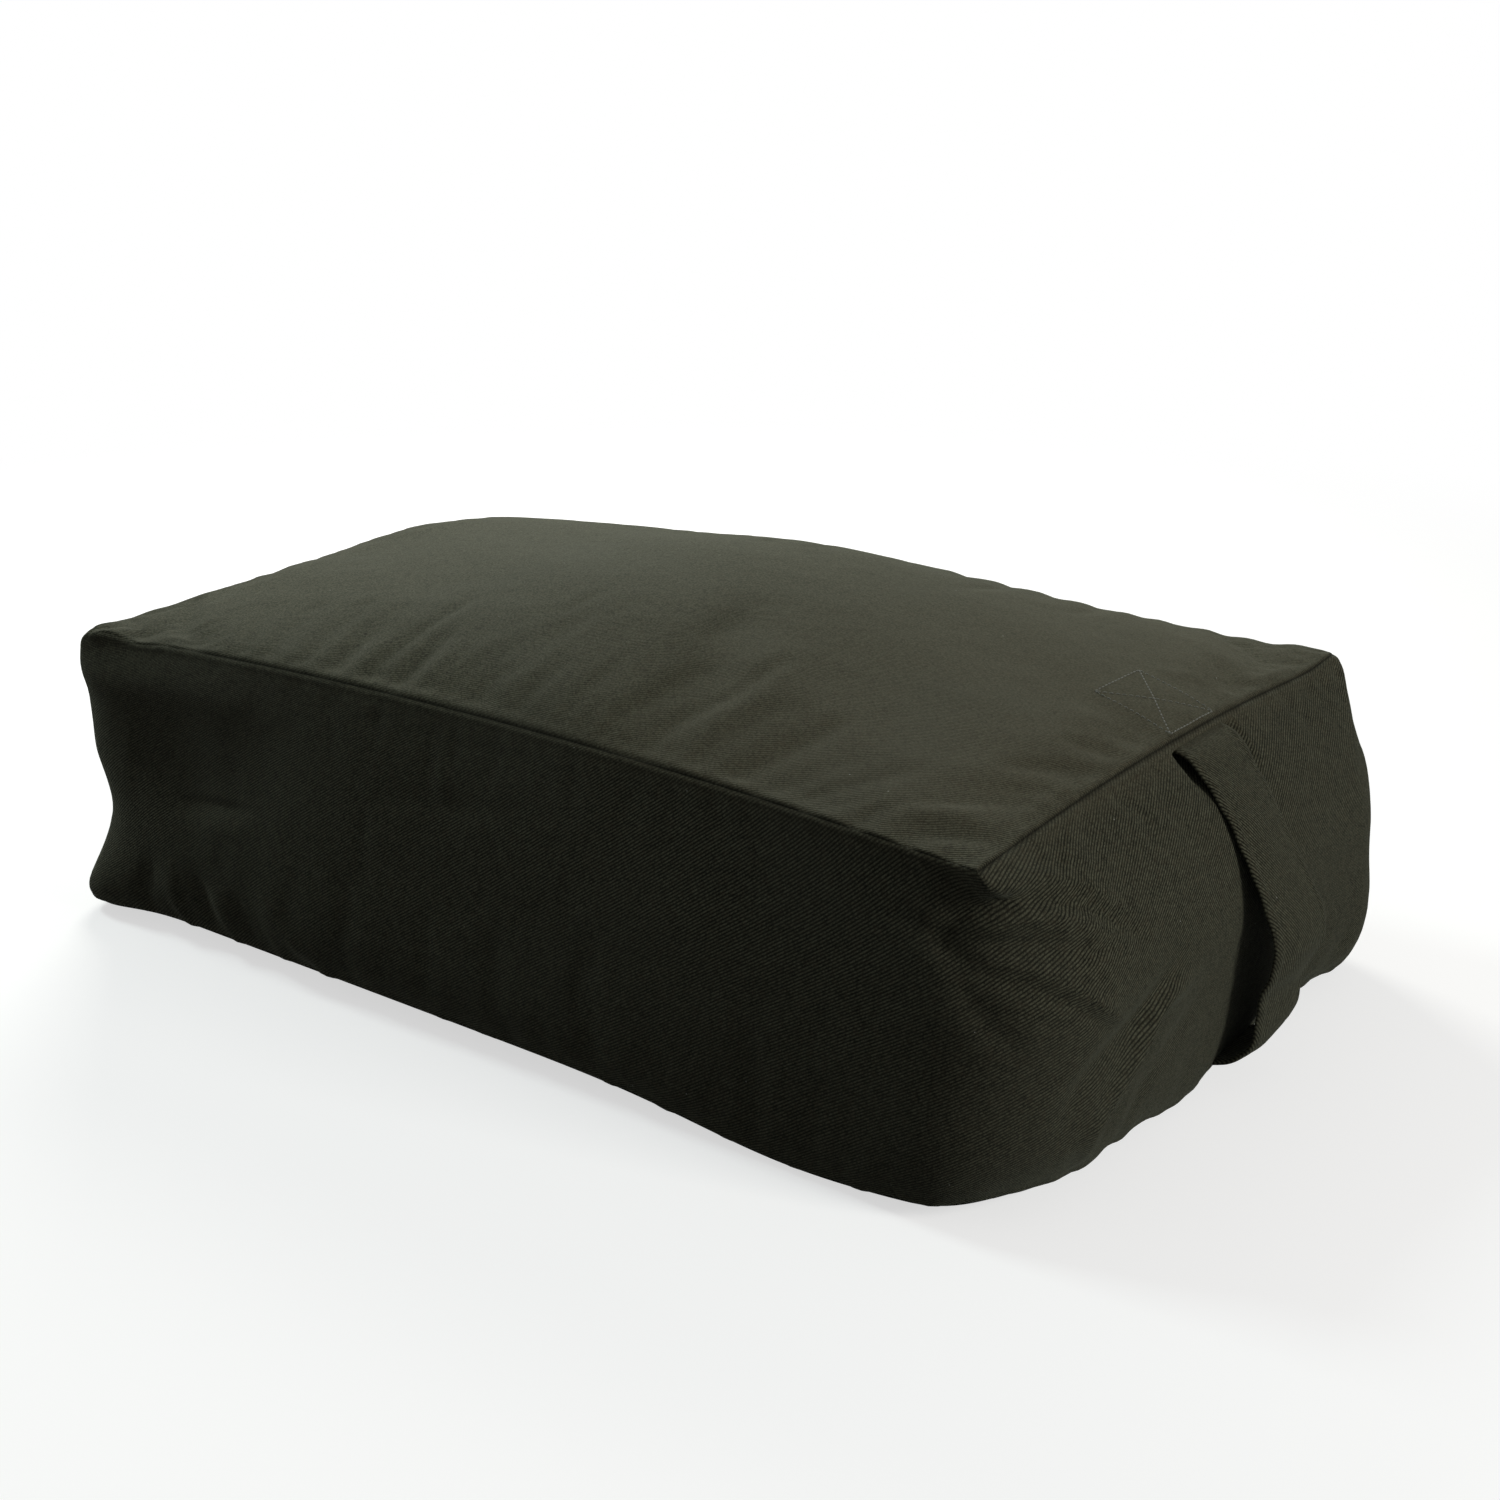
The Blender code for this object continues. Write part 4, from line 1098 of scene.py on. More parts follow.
def round_place(u: Array, v: Array) -> Array:
    """Place round the square's edge, 0 to 8: u + 1, then 3 + v, 5 - u and 7 - v on its sides."""
    on_end = np.abs(u) > np.abs(v)
    return np.where(on_end, np.where(u > 0, 3 + v, 7 - v), np.where(v < 0, 1 + u, 5 - u)) % 8


@dataclass(frozen=True)
class Wrinkles:
    """Heights left by the cloth simulation over the top panel and the boxing, on coarse grids."""

    across: Array
    along: Array
    top: Array
    places: Array
    levels: Array
    side: Array

    @staticmethod
    def read(grid: Array, rows: Array, columns: Array, row: Array, column: Array) -> Array:
        """Smooth value of a grid at any places between its rows and columns."""
        (i, a), (j, b) = nearby(rows, row), nearby(columns, column)
        return np.einsum("...i,...j,...ij->...", a, b, grid[i[..., :, None], j[..., None, :]])

    def on_top(self, u: Array, v: Array) -> Array:
        """Height on the top panel."""
        return self.read(self.top, self.along, self.across, v, u)

    def on_side(self, u: Array, v: Array, w: Array) -> Array:
        """Height on the boxing."""
        place, level = np.broadcast_arrays(round_place(u, v), w)
        return self.read(self.side, self.levels, self.places, level, place)


@dataclass(frozen=True)
class Settling:
    """Cloth simulation of the cover: cut a little large, held at its seams and pressed outwards."""

    cell: float = 7.5 * MM
    spare: float = 0.012
    pressure: float = 4.0
    frames: int = 20
    cap: float = 6.0 * MM
    swell_rounds: int = 9
    seam_calm: float = 13.0 * MM
    overlap: int = 12

    def less_swell(self, heights: Array, seam: Array) -> Array:
        """Heights without their smooth swell, away from the seam."""
        return heights - smoothed(heights, self.swell_rounds) * smooth_step(seam, 0.0, self.seam_calm)

    def run(self) -> Wrinkles:
        """Simulate a coarse copy, and keep how far its points moved along their normals, less the swell.
        """
        halves = (FORM.belly_half_length, FORM.belly_half_width)
        across, along = (np.linspace(-1, 1, 2 * int(half / self.cell) + 1) for half in halves)
        low, high = (int(reach / self.cell) + 2 for reach in (FORM.lower_reach, FORM.upper_reach))
        levels = np.concatenate([np.linspace(-1, 0, low), np.linspace(0, 1, high)[1:]])
        u, v = np.meshgrid(across, along)
        ring, ring_u, ring_v = ring_of(u, v)
        side = FORM.side(ring_u[None], ring_v[None], levels[:, None])
        top, bottom = FORM.top(u, v), FORM.bottom(u, v)
        points, faces = joined(bottom, top, side, ring)
        held = np.concatenate([np.arange(u.size), u.size + ring])
        shift = self.pressed(points, faces, held) - points
        gone = np.maximum(np.linalg.norm(shift, axis=1, keepdims=True), 1e-9)
        shift = shift * np.minimum(1, self.cap / gone)
        on_top, on_side = shift[u.size : 2 * u.size].reshape(top.shape), np.zeros_like(side)
        on_side[1:-1] = shift[2 * u.size :].reshape(side[1:-1].shape)
        raised = (on_top * grid_normals(top)).sum(-1)
        spread = (on_side * grid_normals(side, wrap=True)).sum(-1)
        back, on = self.overlap, self.overlap + 1
        spread = np.concatenate([spread[:, -back:], spread, spread[:, :on]], axis=1)
        place = round_place(ring_u, ring_v)
        places = np.concatenate([place[-back:] - 8, place, place[:on] + 8])
        raised = self.less_swell(raised, np.minimum(*FORM.top_seams(u, v)))
        spread = self.less_swell(spread, np.minimum(*FORM.side_seams(levels))[:, None])
        return Wrinkles(across, along, raised, places, levels, spread)

    def pressed(self, points: Array, faces: Array, held: Array) -> Array:
        """Points of a shell on the simulation's last frame.

        Args:
            points: Points of the shell.
            faces: Its faces.
            held: Numbers of the points that are held.

        Returns:
            The points.
        """
        piece = solid_object("settling", points, faces)
        piece.vertex_groups.new(name="seams").add(held.tolist(), 1.0, "REPLACE")
        cloth = piece.modifiers.new("cloth", "CLOTH")
        cloth.settings.vertex_group_mass = "seams"
        cloth.settings.use_pressure = True
        cloth.settings.uniform_pressure_force = self.pressure
        cloth.settings.effector_weights.gravity = 0.0
        cloth.settings.shrink_min = -self.spare
        cloth.point_cache.frame_end = self.frames
        for number in range(1, self.frames + 1):
            bpy.context.scene.frame_set(number)
        solved = piece.evaluated_get(bpy.context.evaluated_depsgraph_get()).to_mesh()
        moved = np.empty(points.size, np.float32)
        solved.vertices.foreach_get("co", moved)
        bpy.context.scene.frame_set(1)
        mesh = piece.data
        bpy.data.objects.remove(piece)
        bpy.data.meshes.remove(mesh)
        return moved.reshape(-1, 3).astype(float)


@dataclass
class Cover:
    """The zipped twill cover, stuffed: crowned top, boxing, bottom, seams, folds and the zip's slot."""

    wrinkles: Wrinkles
    top_rumple: float = 0.8
    side_rumple: float = 0.5
    top_swell: Waves = Waves(0.7 * MM, (80 * MM, 220 * MM), 7, 3)
    top_ripple: Waves = Waves(0.09 * MM, (20 * MM, 50 * MM), 9, 5)
    side_swell: Waves = Waves(0.8 * MM, (70 * MM, 200 * MM), 7, 21)
    side_ripple: Waves = Waves(0.10 * MM, (20 * MM, 50 * MM), 9, 22)
    top_gathers: Gathers = Gathers(0.35 * MM, 9 * MM, 11)
    end_gathers: Gathers = Gathers(0.45 * MM, 11 * MM, 12)
    upper_gathers: Gathers = Gathers(0.30 * MM, 8 * MM, 23)
    lower_gathers: Gathers = Gathers(0.55 * MM, 9 * MM, 24)
    top_seam: Seam = Seam(1.0, 0.7, 0.12, 2.6, 1.6)
    side_seam: Seam = Seam(1.0, 0.7, 0.5, 2.3, 1.2)
    panel_seam: Seam = Seam(0.8, 1.0, 0.5, 3.0, 1.8)
    # Width of the painted shade along the seams.
    seam_shade_width: float = 0.60 * MM
    # Place and width of the top's corner where the painted seam shade grows fainter.
    faint_seam_shade_corner: Place = (-0.262, -0.183, 0.062)
    fine: float = 0.6 * MM
    coarse: float = 3.8 * MM
    top_calm: float = 12 * MM
    side_calm: float = 14 * MM
    rumple_calm: float = 8 * MM
    sewn_x: Range = (0.19, 0.22)
    sewn_y: Range = (28 * MM, 45 * MM)
    tight_corner: Range = (0.75, 70 * MM)
    zip_calm: float = 22 * MM
    strap_calm: float = 42 * MM
    left_roll: tuple[float, float, float, float] = (0.85, -0.54, 1.6, 110 * MM)
    dip_sides: Range = (1.0 * MM, 8 * MM)
    dip_lip: Range = (2.1 * MM, 3.1 * MM)
    dip_fade: Range = (6 * MM, 26 * MM)
    dip_low: float = 7 * MM
    slot_half_length: float = 0.215
    slot_half_width: float = 6.0 * MM
    slot_depth: float = 6.6 * MM
    slot_margin: float = 7.0 * MM
    slot_stitch: float = 5.0 * MM
    slot_groove: float = 0.45 * MM
    slot_roll: float = 0.7 * MM
    slot_roll_place: float = 2.0 * MM
    slot_roll_width: float = 1.8 * MM
    slot_groove_width: float = 1.0 * MM
    slot_stitch_fade: float = 2 * MM
    slot_end: Range = (-0.4 * MM, 1.8 * MM)
    slot_wall: Range = (-0.4 * MM, 0.5 * MM)
    shut_groove: float = 0.5 * MM
    pull_dip: float = 1.5 * MM
    pull_start: Range = (0.205, 0.212)
    pull_end: Range = (0.236, 0.242)
    pull_side: Range = (5 * MM, 12 * MM)
    zip_panel_half_length: float = 0.246
    twill_top: float = 31.0
    twill_end: float = 28.5
    twill_front: float = 33.5
    top_folds: tuple[Fold, ...] = (
        Fold(-1.6, 7, (-100, -170, -108, -150, -120, -128)),
        Fold(1, 8, (-85, -168, -96, -140)),
        Fold(-2.3, 8, (-57, -172, -61, -150, -66, -125)),
        Fold(1.1, 8, (-40, -168, -46, -140)),
        Fold(-1.5, 7, (-12, -174, -14, -145, -16, -115)),
        Fold(-3.2, 17, (96, -175, 90, -112, 64, -45)),
        Fold(1.8, 18, (124, -165, 118, -105, 96, -50)),
        Fold(-1.3, 9, (68, -90, 65, -42)),
        Fold(-1.6, 8, (-199, -174, -220, -168)),
        Fold(2, 8, (222, -160, 244, -154, 262, -148)),
        Fold(-1.6, 6, (240, -172, 256, -166, 270, -160)),
        Fold(-0.9, 3.4, (276, -140, 262, -128)),
        Fold(-0.9, 3.4, (276, -126, 260, -114)),
        Fold(-0.7, 3.4, (276, -112, 260, -101)),
    )
    side_folds: tuple[Fold, ...] = (
        Fold(-5, 3.4, (
            -38, 126.5, -22.6, 138.2, -9.5, 143.8, 5.5, 147.4, 19.1, 145.8, 41, 138.3, 72, 116.5
        )),
        Fold(3.6, 5.5, (-20, 147, -1.5, 154.5, 8.8, 153.5, 22.9, 149.5, 37.6, 144.9, 60, 133)),
        Fold(3.6, 4.2, (-22.7, 133.6, -9.8, 136.4, 8.8, 138.2, 23.2, 134.5, 44, 126)),
        Fold(-3.2, 2.6, (-18, 129.5, -6.3, 127.2, 8.8, 126, 29.4, 122.9, 53, 117.6)),
        Fold(3, 3.2, (-32, 131.5, -19.2, 124.8, -0.1, 119.2, 16.5, 110.9, 25, 104.5, 52, 85.5)),
        Fold(-2.2, 3.2, (
            -32, 127, -23, 120.6, -14.5, 116.6, -1, 113.8, 13.2, 106.7, 25.1, 98.7, 45, 83.5
        )),
        Fold(-2, 6, (-34, 125.3, -29.2, 113.1, -19.5, 98.5, -5, 85)),
        Fold(5, 5.5, (
            120, 83, 91.8, 83.1, 81, 78.3, 72.4, 70.5, 65.2, 63.2, 56, 55.7, 48.7, 47.4, 40, 40, 42, 20
        )),
        Fold(-3.8, 7, (100, 95, 81, 86.2, 67.5, 80.6, 48.8, 75.9, 36.2, 70.6, 26.4, 62, 22, 44)),
        Fold(-2, 7, (135, 70, 108, 56, 86, 40, 70, 18)),
        Fold(-3.2, 5.5, (-30, 141, -11.8, 150, 2, 156)),
        Fold(1.6, 5, (38, 158.5, 52.8, 150.8, 68, 142.5)),
        Fold(-1.2, 3.2, (98, 164, 108, 157.2, 109, 146)),
        Fold(-1.8, 7, (-60, 138, -34, 130, -12, 123)),
        Fold(1.5, 2.8, (-326.2, 162, -326.5, 144.8, -322.9, 124)),
        Fold(-1.2, 4.2, (-334, 160, -334.5, 145, -331, 128)),
        Fold(-1.2, 4, (-374, 117, -323.7, 123.8, -268, 130.5)),
        Fold(-1.1, 2.5, (-382, 156, -372, 154.5)),
        Fold(-6, 22, (-560, 100, -510, 94, -462, 101)),
        Fold(-2.2, 3.6, (-522, 80.5, -490.9, 85.4, -458, 89.3)),
        Fold(1.4, 5.5, (-520, 70, -490, 74.5, -458, 77.5)),
        Fold(2.4, 18, (-498, 150, -486, 95, -478, 48)),
        Fold(-2.8, 6, (-544, 43, -550.3, 26.6, -555, 13)),
        Fold(2.4, 6.5, (-527, 42, -526, 13)),
        Fold(-3.2, 6, (-506, 44, -502.5, 31.3, -500.5, 13)),
        Fold(2.8, 5.5, (-489, 42, -486, 13)),
        Fold(-2.6, 4.5, (-475, 43, -470.7, 31, -468.5, 13)),
        Fold(-1.6, 4, (-462, 42, -459, 30, -455, 14)),
        Fold(2, 8, (-450, 50, -432, 28, -410, 14)),
        Fold(4.6, 14, (-640, 140, -566.4, 143, -535.2, 144, -450, 148)),
    )
    nudges: tuple[Nudge, ...] = (
        Nudge((-262, 55, 172), (50, 60, 40), (0, 0, 5.5)),
        Nudge((-250, 185, 168), (90, 45, 34), (0, 0, -6.5)),
        Nudge((278, 184, 165), (28, 28, 22), (-1, -1, 5)),
        Nudge((280, 185, 168), (9, 9, 9), (-3.5, -3, -2.5)),
        Nudge((294, 178, 128), (30, 30, 24), (5, 4, 0)),
        Nudge((-283, -182, 164), (22, 22, 12), (-1, -1, 2)),
        Nudge((-280, -185, 163), (6, 6, 6), (3, 2.5, -1.5)),
        Nudge((-262, -180, 166), (10, 10, 10), (0, 0, 1.5)),
        Nudge((-240, -178, 168), (10, 14, 12), (0, 0, -1.8)),
        Nudge((-292, -178, 138), (45, 45, 24), (-8.5, -6, 0)),
        Nudge((-297, -179, 58), (50, 50, 26), (7, 5.5, 0)),
        Nudge((-277, -187, 12), (30, 30, 17), (-11, -8, -3)),
        Nudge((195, -187, 10), (75, 30, 20), (0, -2, -7)),
        Nudge((299, -165, 12), (30, 30, 22), (-2, 2, 5)),
        Nudge((307, -30, 13), (30, 35, 22), (2, 0, -6)),
        Nudge((314, 153, 45), (40, 40, 35), (4, 3.5, -2)),
        Nudge((310, 155, 18), (30, 30, 18), (0, 0, -6)),
    )

    def stations(self, half: float, extra: Array, least: float = 0.8 * MM) -> Array:
        """Shares from -1 to 1, fine at both ends, with extra ones that the others keep off.

        Args:
            half: Half of the side's length, in metres.
            extra: Extra shares, from 0 to 1, which come on both sides of the middle.
            least: How near to an extra station another may lie, in metres.

        Returns:
            The shares in order.
        """
        shares = graded(2 * half, self.fine, self.coarse) / half - 1
        extra = np.concatenate([-extra[::-1], extra])
        apart = np.abs(shares[:, None] - extra[None]).min(1, initial=np.inf) > least / half
        apart[[0, -1]] = True
        return np.sort(np.concatenate([shares[apart], extra]))

    def settled(self, points: Array) -> Array:
        """Move points by all nudges, and none of them below the floor.

        Args:
            points: The points.

        Returns:
            The moved points.
        """
        moved = points + sum(nudge.shift(points) for nudge in self.nudges)
        moved[..., 2] = np.maximum(moved[..., 2], 0.0)
        return moved

    def top_relief(self, points: Array, u: Array, v: Array) -> Array:
        """Height of all that stands on or sinks into the top panel.

        Args:
            points: The panel's points.
            u: First coordinate on the square, for each point.
            v: Second coordinate on the square, for each point.

        Returns:
            The height at each point.
        """
        x, y = points[..., 0], points[..., 1]
        end, side = FORM.top_seams(u, v)
        seam = np.minimum(end, side)
        aside = np.abs(y - STRAP.off_centre)
        sewn = smooth_step(x, *self.sewn_x) * (1 - smooth_step(aside, *self.sewn_y))
        share, width = self.tight_corner
        corner = share * bell(np.hypot(x - FORM.top_half_length, y + FORM.top_half_width), width)
        loose = (1 - np.maximum(sewn, corner)) * smooth_step(seam, 0.0, self.rumple_calm)
        waves = self.top_swell.at(x, y) + self.top_ripple.at(x, y)
        waves = waves * smooth_step(seam, 0.0, self.top_calm)
        gathers = self.top_gathers.relief(x, side) + self.end_gathers.relief(y, end)
        folds = sum(fold.relief(x, y) for fold in self.top_folds)
        rumple = self.top_rumple * self.wrinkles.on_top(u, v) * loose
        return self.top_seam.relief(seam) + waves + gathers + folds + STITCH_BOX.relief(x, y) + rumple

    def boxing_length(self, u: Array, v: Array) -> Array:
        """Distance round the belly from the near corner, cut at the zip panel's far end seam.

        Args:
            u: First coordinate on the square's edge.
            v: Second coordinate on the square's edge.

        Returns:
            The distance at each point.
        """
        cut = 5 + self.zip_panel_half_length / FORM.belly_half_length
        turn = np.linspace(0, 8, 1601)
        place = (turn + cut) % 8
        ring_u = np.clip(np.where(place < 4, place - 1, 5 - place), -1, 1)
        ring_v = np.clip(np.where(place < 5, place - 3, 7 - place), -1, 1)
        gone = gone_along(FORM.side(ring_u, ring_v, np.zeros_like(turn)))
        corner = np.interp((2 - cut) % 8, turn, gone)
        return np.interp((round_place(u, v) - cut) % 8, turn, gone) - corner

    def side_relief(self, points: Array, u: Array, v: Array, w: Array) -> Array:
        """Height of all that stands on or sinks into the boxing and the zip panel.

        Args:
            points: The boxing's points.
            u: First coordinate on the square, for each point or column.
            v: Second coordinate on the square, for each point or column.
            w: Level from -1 to 1, for each point or row.

        Returns:
            The height at each point.
        """
        y, z = points[..., 1], points[..., 2]
        below, over = (distance + 0 * y for distance in FORM.side_seams(w))
        s = self.boxing_length(u, v) + 0 * y
        beside_zip = bell(z - FORM.belly_height, self.zip_calm) * (v > ON_EDGE)
        behind_strap = bell(y - STRAP.off_centre, self.strap_calm) * (u > ON_EDGE)
        share, place, stretch, width = self.left_roll
        rolled = share * bell(np.hypot(s - place, stretch * (z - FORM.top_corner_height)), width)
        loose = 1 - np.maximum.reduce([behind_strap, beside_zip, rolled])
        calm = smooth_step(np.minimum(below, over), 0.0, self.side_calm) * (1 - beside_zip)
        seams = self.side_seam.relief(below) + self.side_seam.relief(over)
        waves = (self.side_swell.at(s, z) + self.side_ripple.at(s, z)) * calm
        gathers = self.upper_gathers.relief(s, below) + self.lower_gathers.relief(s, over)
        folds = sum(fold.relief(s, z) for fold in self.side_folds)
        rumple = self.side_rumple * self.wrinkles.on_side(u, v, w) * loose
        local = self.zip_relief(points, v) - self.strap_dip(y, u, below, over)
        return seams + waves + gathers + folds + rumple + local

    def strap_dip(self, y: Array, u: Array, below: Array, over: Array) -> Array:
        """How far the boxing lies back behind the strap, under a lip as thick as the panel's hem.

        Args:
            y: Second coordinate of each point.
            u: First coordinate on the square, which is 1 at the strap end.
            below: Distance from the top seam.
            over: Distance from the bottom seam.

        Returns:
            The depth at each point.
        """
        deep = 2 * STRAP.cloth + STRAP.thickness + 4 * STRAP.clearance
        across = 1 - smooth_step(np.abs(y - STRAP.off_centre) - STRAP.width / 2, *self.dip_sides)
        upper = smooth_step(below, *self.dip_lip) * (1 - smooth_step(below, *self.dip_fade))
        lower = 1 - smooth_step(over, 0.0, self.dip_low)
        return deep * np.maximum(upper, lower) * across * (u > ON_EDGE)

    def zip_relief(self, points: Array, v: Array) -> Array:
        """The zip's slot between its folded edges, the rows of stitches beside it and its end seams.

        Args:
            points: The boxing's points.
            v: Second coordinate on the square, which is 1 on the zip side.

        Returns:
            The height at each point.
        """
        x, far_x = points[..., 0], np.abs(points[..., 0])
        high = np.abs(points[..., 2] - FORM.belly_height)
        past_slot, past_panel = high - self.slot_half_width, far_x - self.zip_panel_half_length
        past_end = far_x - self.slot_half_length
        inside = 1 - smooth_step(past_end, *self.slot_end)
        wall = 1 - smooth_step(past_slot, *self.slot_wall)
        roll = self.slot_roll * bell(past_slot - self.slot_roll_place, self.slot_roll_width)
        roll = roll * inside * (past_slot > 0)
        stitch = self.slot_groove * bell(past_slot - self.slot_stitch, self.slot_groove_width)
        fade = self.slot_margin - self.slot_stitch_fade
        stitch = stitch * (1 - smooth_step(past_end, fade, self.slot_margin))
        shut = self.shut_groove * bell(high, self.slot_groove_width) * (1 - inside) * (past_panel < 0)
        seam = self.panel_seam.relief(past_panel)
        under_pull = smooth_step(-x, *self.pull_start) * (1 - smooth_step(-x, *self.pull_end))
        under_pull = self.pull_dip * under_pull * (1 - smooth_step(high, *self.pull_side))
        under_pull = under_pull * (1 - inside * wall)
        relief = roll + seam - stitch - shut - under_pull - self.slot_depth * inside * wall
        return relief * (v > ON_EDGE)

    def at_top(self, x: Array, y: Array) -> tuple[Array, Array]:
        """Points and normals of the top panel over (x, y), whose (u, v) is found in six rounds.

        Args:
            x: First coordinate of each place.
            y: Second coordinate of each place.

        Returns:
            The points and the normals.
        """
        u, v = x / FORM.top_half_length, y / FORM.top_half_width
        for _ in range(6):
            found = FORM.top(u, v)
            u = u + (x - found[..., 0]) / FORM.top_half_length
            v = v + (y - found[..., 1]) / FORM.top_half_width
        points, normal = FORM.top(u, v), normal_at(FORM.top, u, v, 2e-3)
        return self.settled(points + normal * self.top_relief(points, u, v)[..., None]), normal

    def at_back(self, x: Array, z: Array) -> tuple[Array, Array]:
        """Points and normals of the zip side at (x, z).

        Args:
            x: First coordinate of each place.
            z: Height of each place.

        Returns:
            The points and the normals.
        """
        u = x / FORM.belly_half_length
        w = FORM.back_level(u, z - FORM.belly_height)
        points, normal = FORM.back(u, w), -normal_at(FORM.back, u, w, 1e-3)
        relief = self.side_relief(points, u, np.ones_like(u), w)
        return self.settled(points + normal * relief[..., None]), normal

    def twill_round(self, rise: Array, s: Array, facing: Array) -> Array:
        """Cloth coordinates of the boxing, whose lines lean by an angle a that changes round it.

        Args:
            rise: Distance of each row up the boxing.
            s: Distance of each column round the boxing.
            facing: How far each column faces the zip side, from -1 to 1.

        Returns:
            The pairs (rise cos a - sum of sin a ds, rise sin a + sum of cos a ds).
        """
        lean = self.twill_end + (self.twill_front - self.twill_end) * smooth_step(-facing, 0.2, 0.9)
        turn, step = np.radians(lean), np.diff(s, prepend=0.0)
        across = rise[:, None] * np.cos(turn) - np.cumsum(np.sin(turn) * step)
        return np.stack([across, rise[:, None] * np.sin(turn) + np.cumsum(np.cos(turn) * step)], -1)

    def build(self, finish: Material) -> Piece:
        """Join the top's, boxing's and bottom's grids along shared seams.

        Args:
            finish: The twill.

        Returns:
            The cover.
        """
        slot_ends = self.slot_half_length + np.array([-0.6, 0.6, 2.0]) * MM
        panel_ends = self.zip_panel_half_length + np.arange(-1, 5) * 1.1 * MM
        extra = np.concatenate([slot_ends, panel_ends]) / FORM.belly_half_length
        along = self.stations(FORM.top_half_length, extra)
        u, v = np.meshgrid(along, self.stations(FORM.top_half_width, extra[:0]))
        ring, ring_u, ring_v = ring_of(u, v)
        from_cut = np.abs(ring_u * FORM.belly_half_length + self.zip_panel_half_length)
        cut = int(np.argmin(np.where(ring_v < 1, 1, from_cut)))
        ring, ring_u, ring_v = (np.roll(part, -cut) for part in (ring, ring_u, ring_v))
        reaches = (FORM.lower_reach, FORM.upper_reach)
        lower, upper = (graded(reach, self.fine, self.coarse) / reach for reach in reaches)
        w = np.concatenate([lower - 1, upper[1:]])[:, None]
        top, bottom, side = FORM.top(u, v), FORM.bottom(u, v), FORM.side(ring_u[None], ring_v[None], w)
        out, up = grid_normals(side, wrap=True), grid_normals(top)
        side_points = side + out * self.side_relief(side, ring_u, ring_v, w)[..., None]
        top_points = top + up * self.top_relief(top, u, v)[..., None]
        rim = unit(up.reshape(-1, 3)[ring] + out[-1]) * (self.side_seam.groove * MM)
        top_points.reshape(-1, 3)[ring] = side[-1] - rim
        bottom.reshape(-1, 3)[ring] = side_points[0]
        points, faces = shell(bottom, top_points, side_points[1:-1], ring)
        points = self.settled(points)
        flat = cloth_turn(top[..., 0], top[..., 1], self.twill_top).reshape(-1, 2)
        middle = wrapped(side[len(lower)][None])[0]
        facing = wrapped(out[len(lower)][None])[0, :, 1]
        wound = self.twill_round(gone_along(side[:, len(ring) // 2]), gone_along(middle), facing)
        numbers = np.arange(wound[..., 0].size).reshape(wound.shape[:2])
        grids = faces[: 2 * (len(u) - 1) * (u.shape[1] - 1)] % u.size
        cloth = np.concatenate([flat[grids], wound.reshape(-1, 2)[quads(numbers)]])
        # Painted seam shade: how dark the twill is painted along each seam.
        top_seam_shade = bell(np.minimum(*FORM.top_seams(u, v)), self.seam_shade_width).ravel()
        side_seam_shade = bell(np.minimum(*FORM.side_seams(w[1:-1])) + 0 * ring_u, self.seam_shade_width).ravel()
        # The painted seam shade is fainter near the top's front corner away from the strap.
        x, y, width = self.faint_seam_shade_corner
        worn = bell(np.hypot(points[:, 0] - x, points[:, 1] - y), width)
        painted_seam_shade = np.concatenate([top_seam_shade, top_seam_shade, side_seam_shade]) * (1 - 0.85 * worn)
        piece = solid_object("cover", points, faces, cloth, painted_seam_shade)
        nodes = ("top_panel", "bottom_panel", "boxing_strip", "zip_strip_upper", "zip_strip_lower")
        return dressed(piece, finish, Slot.TWILL, *nodes, fill=0.9)


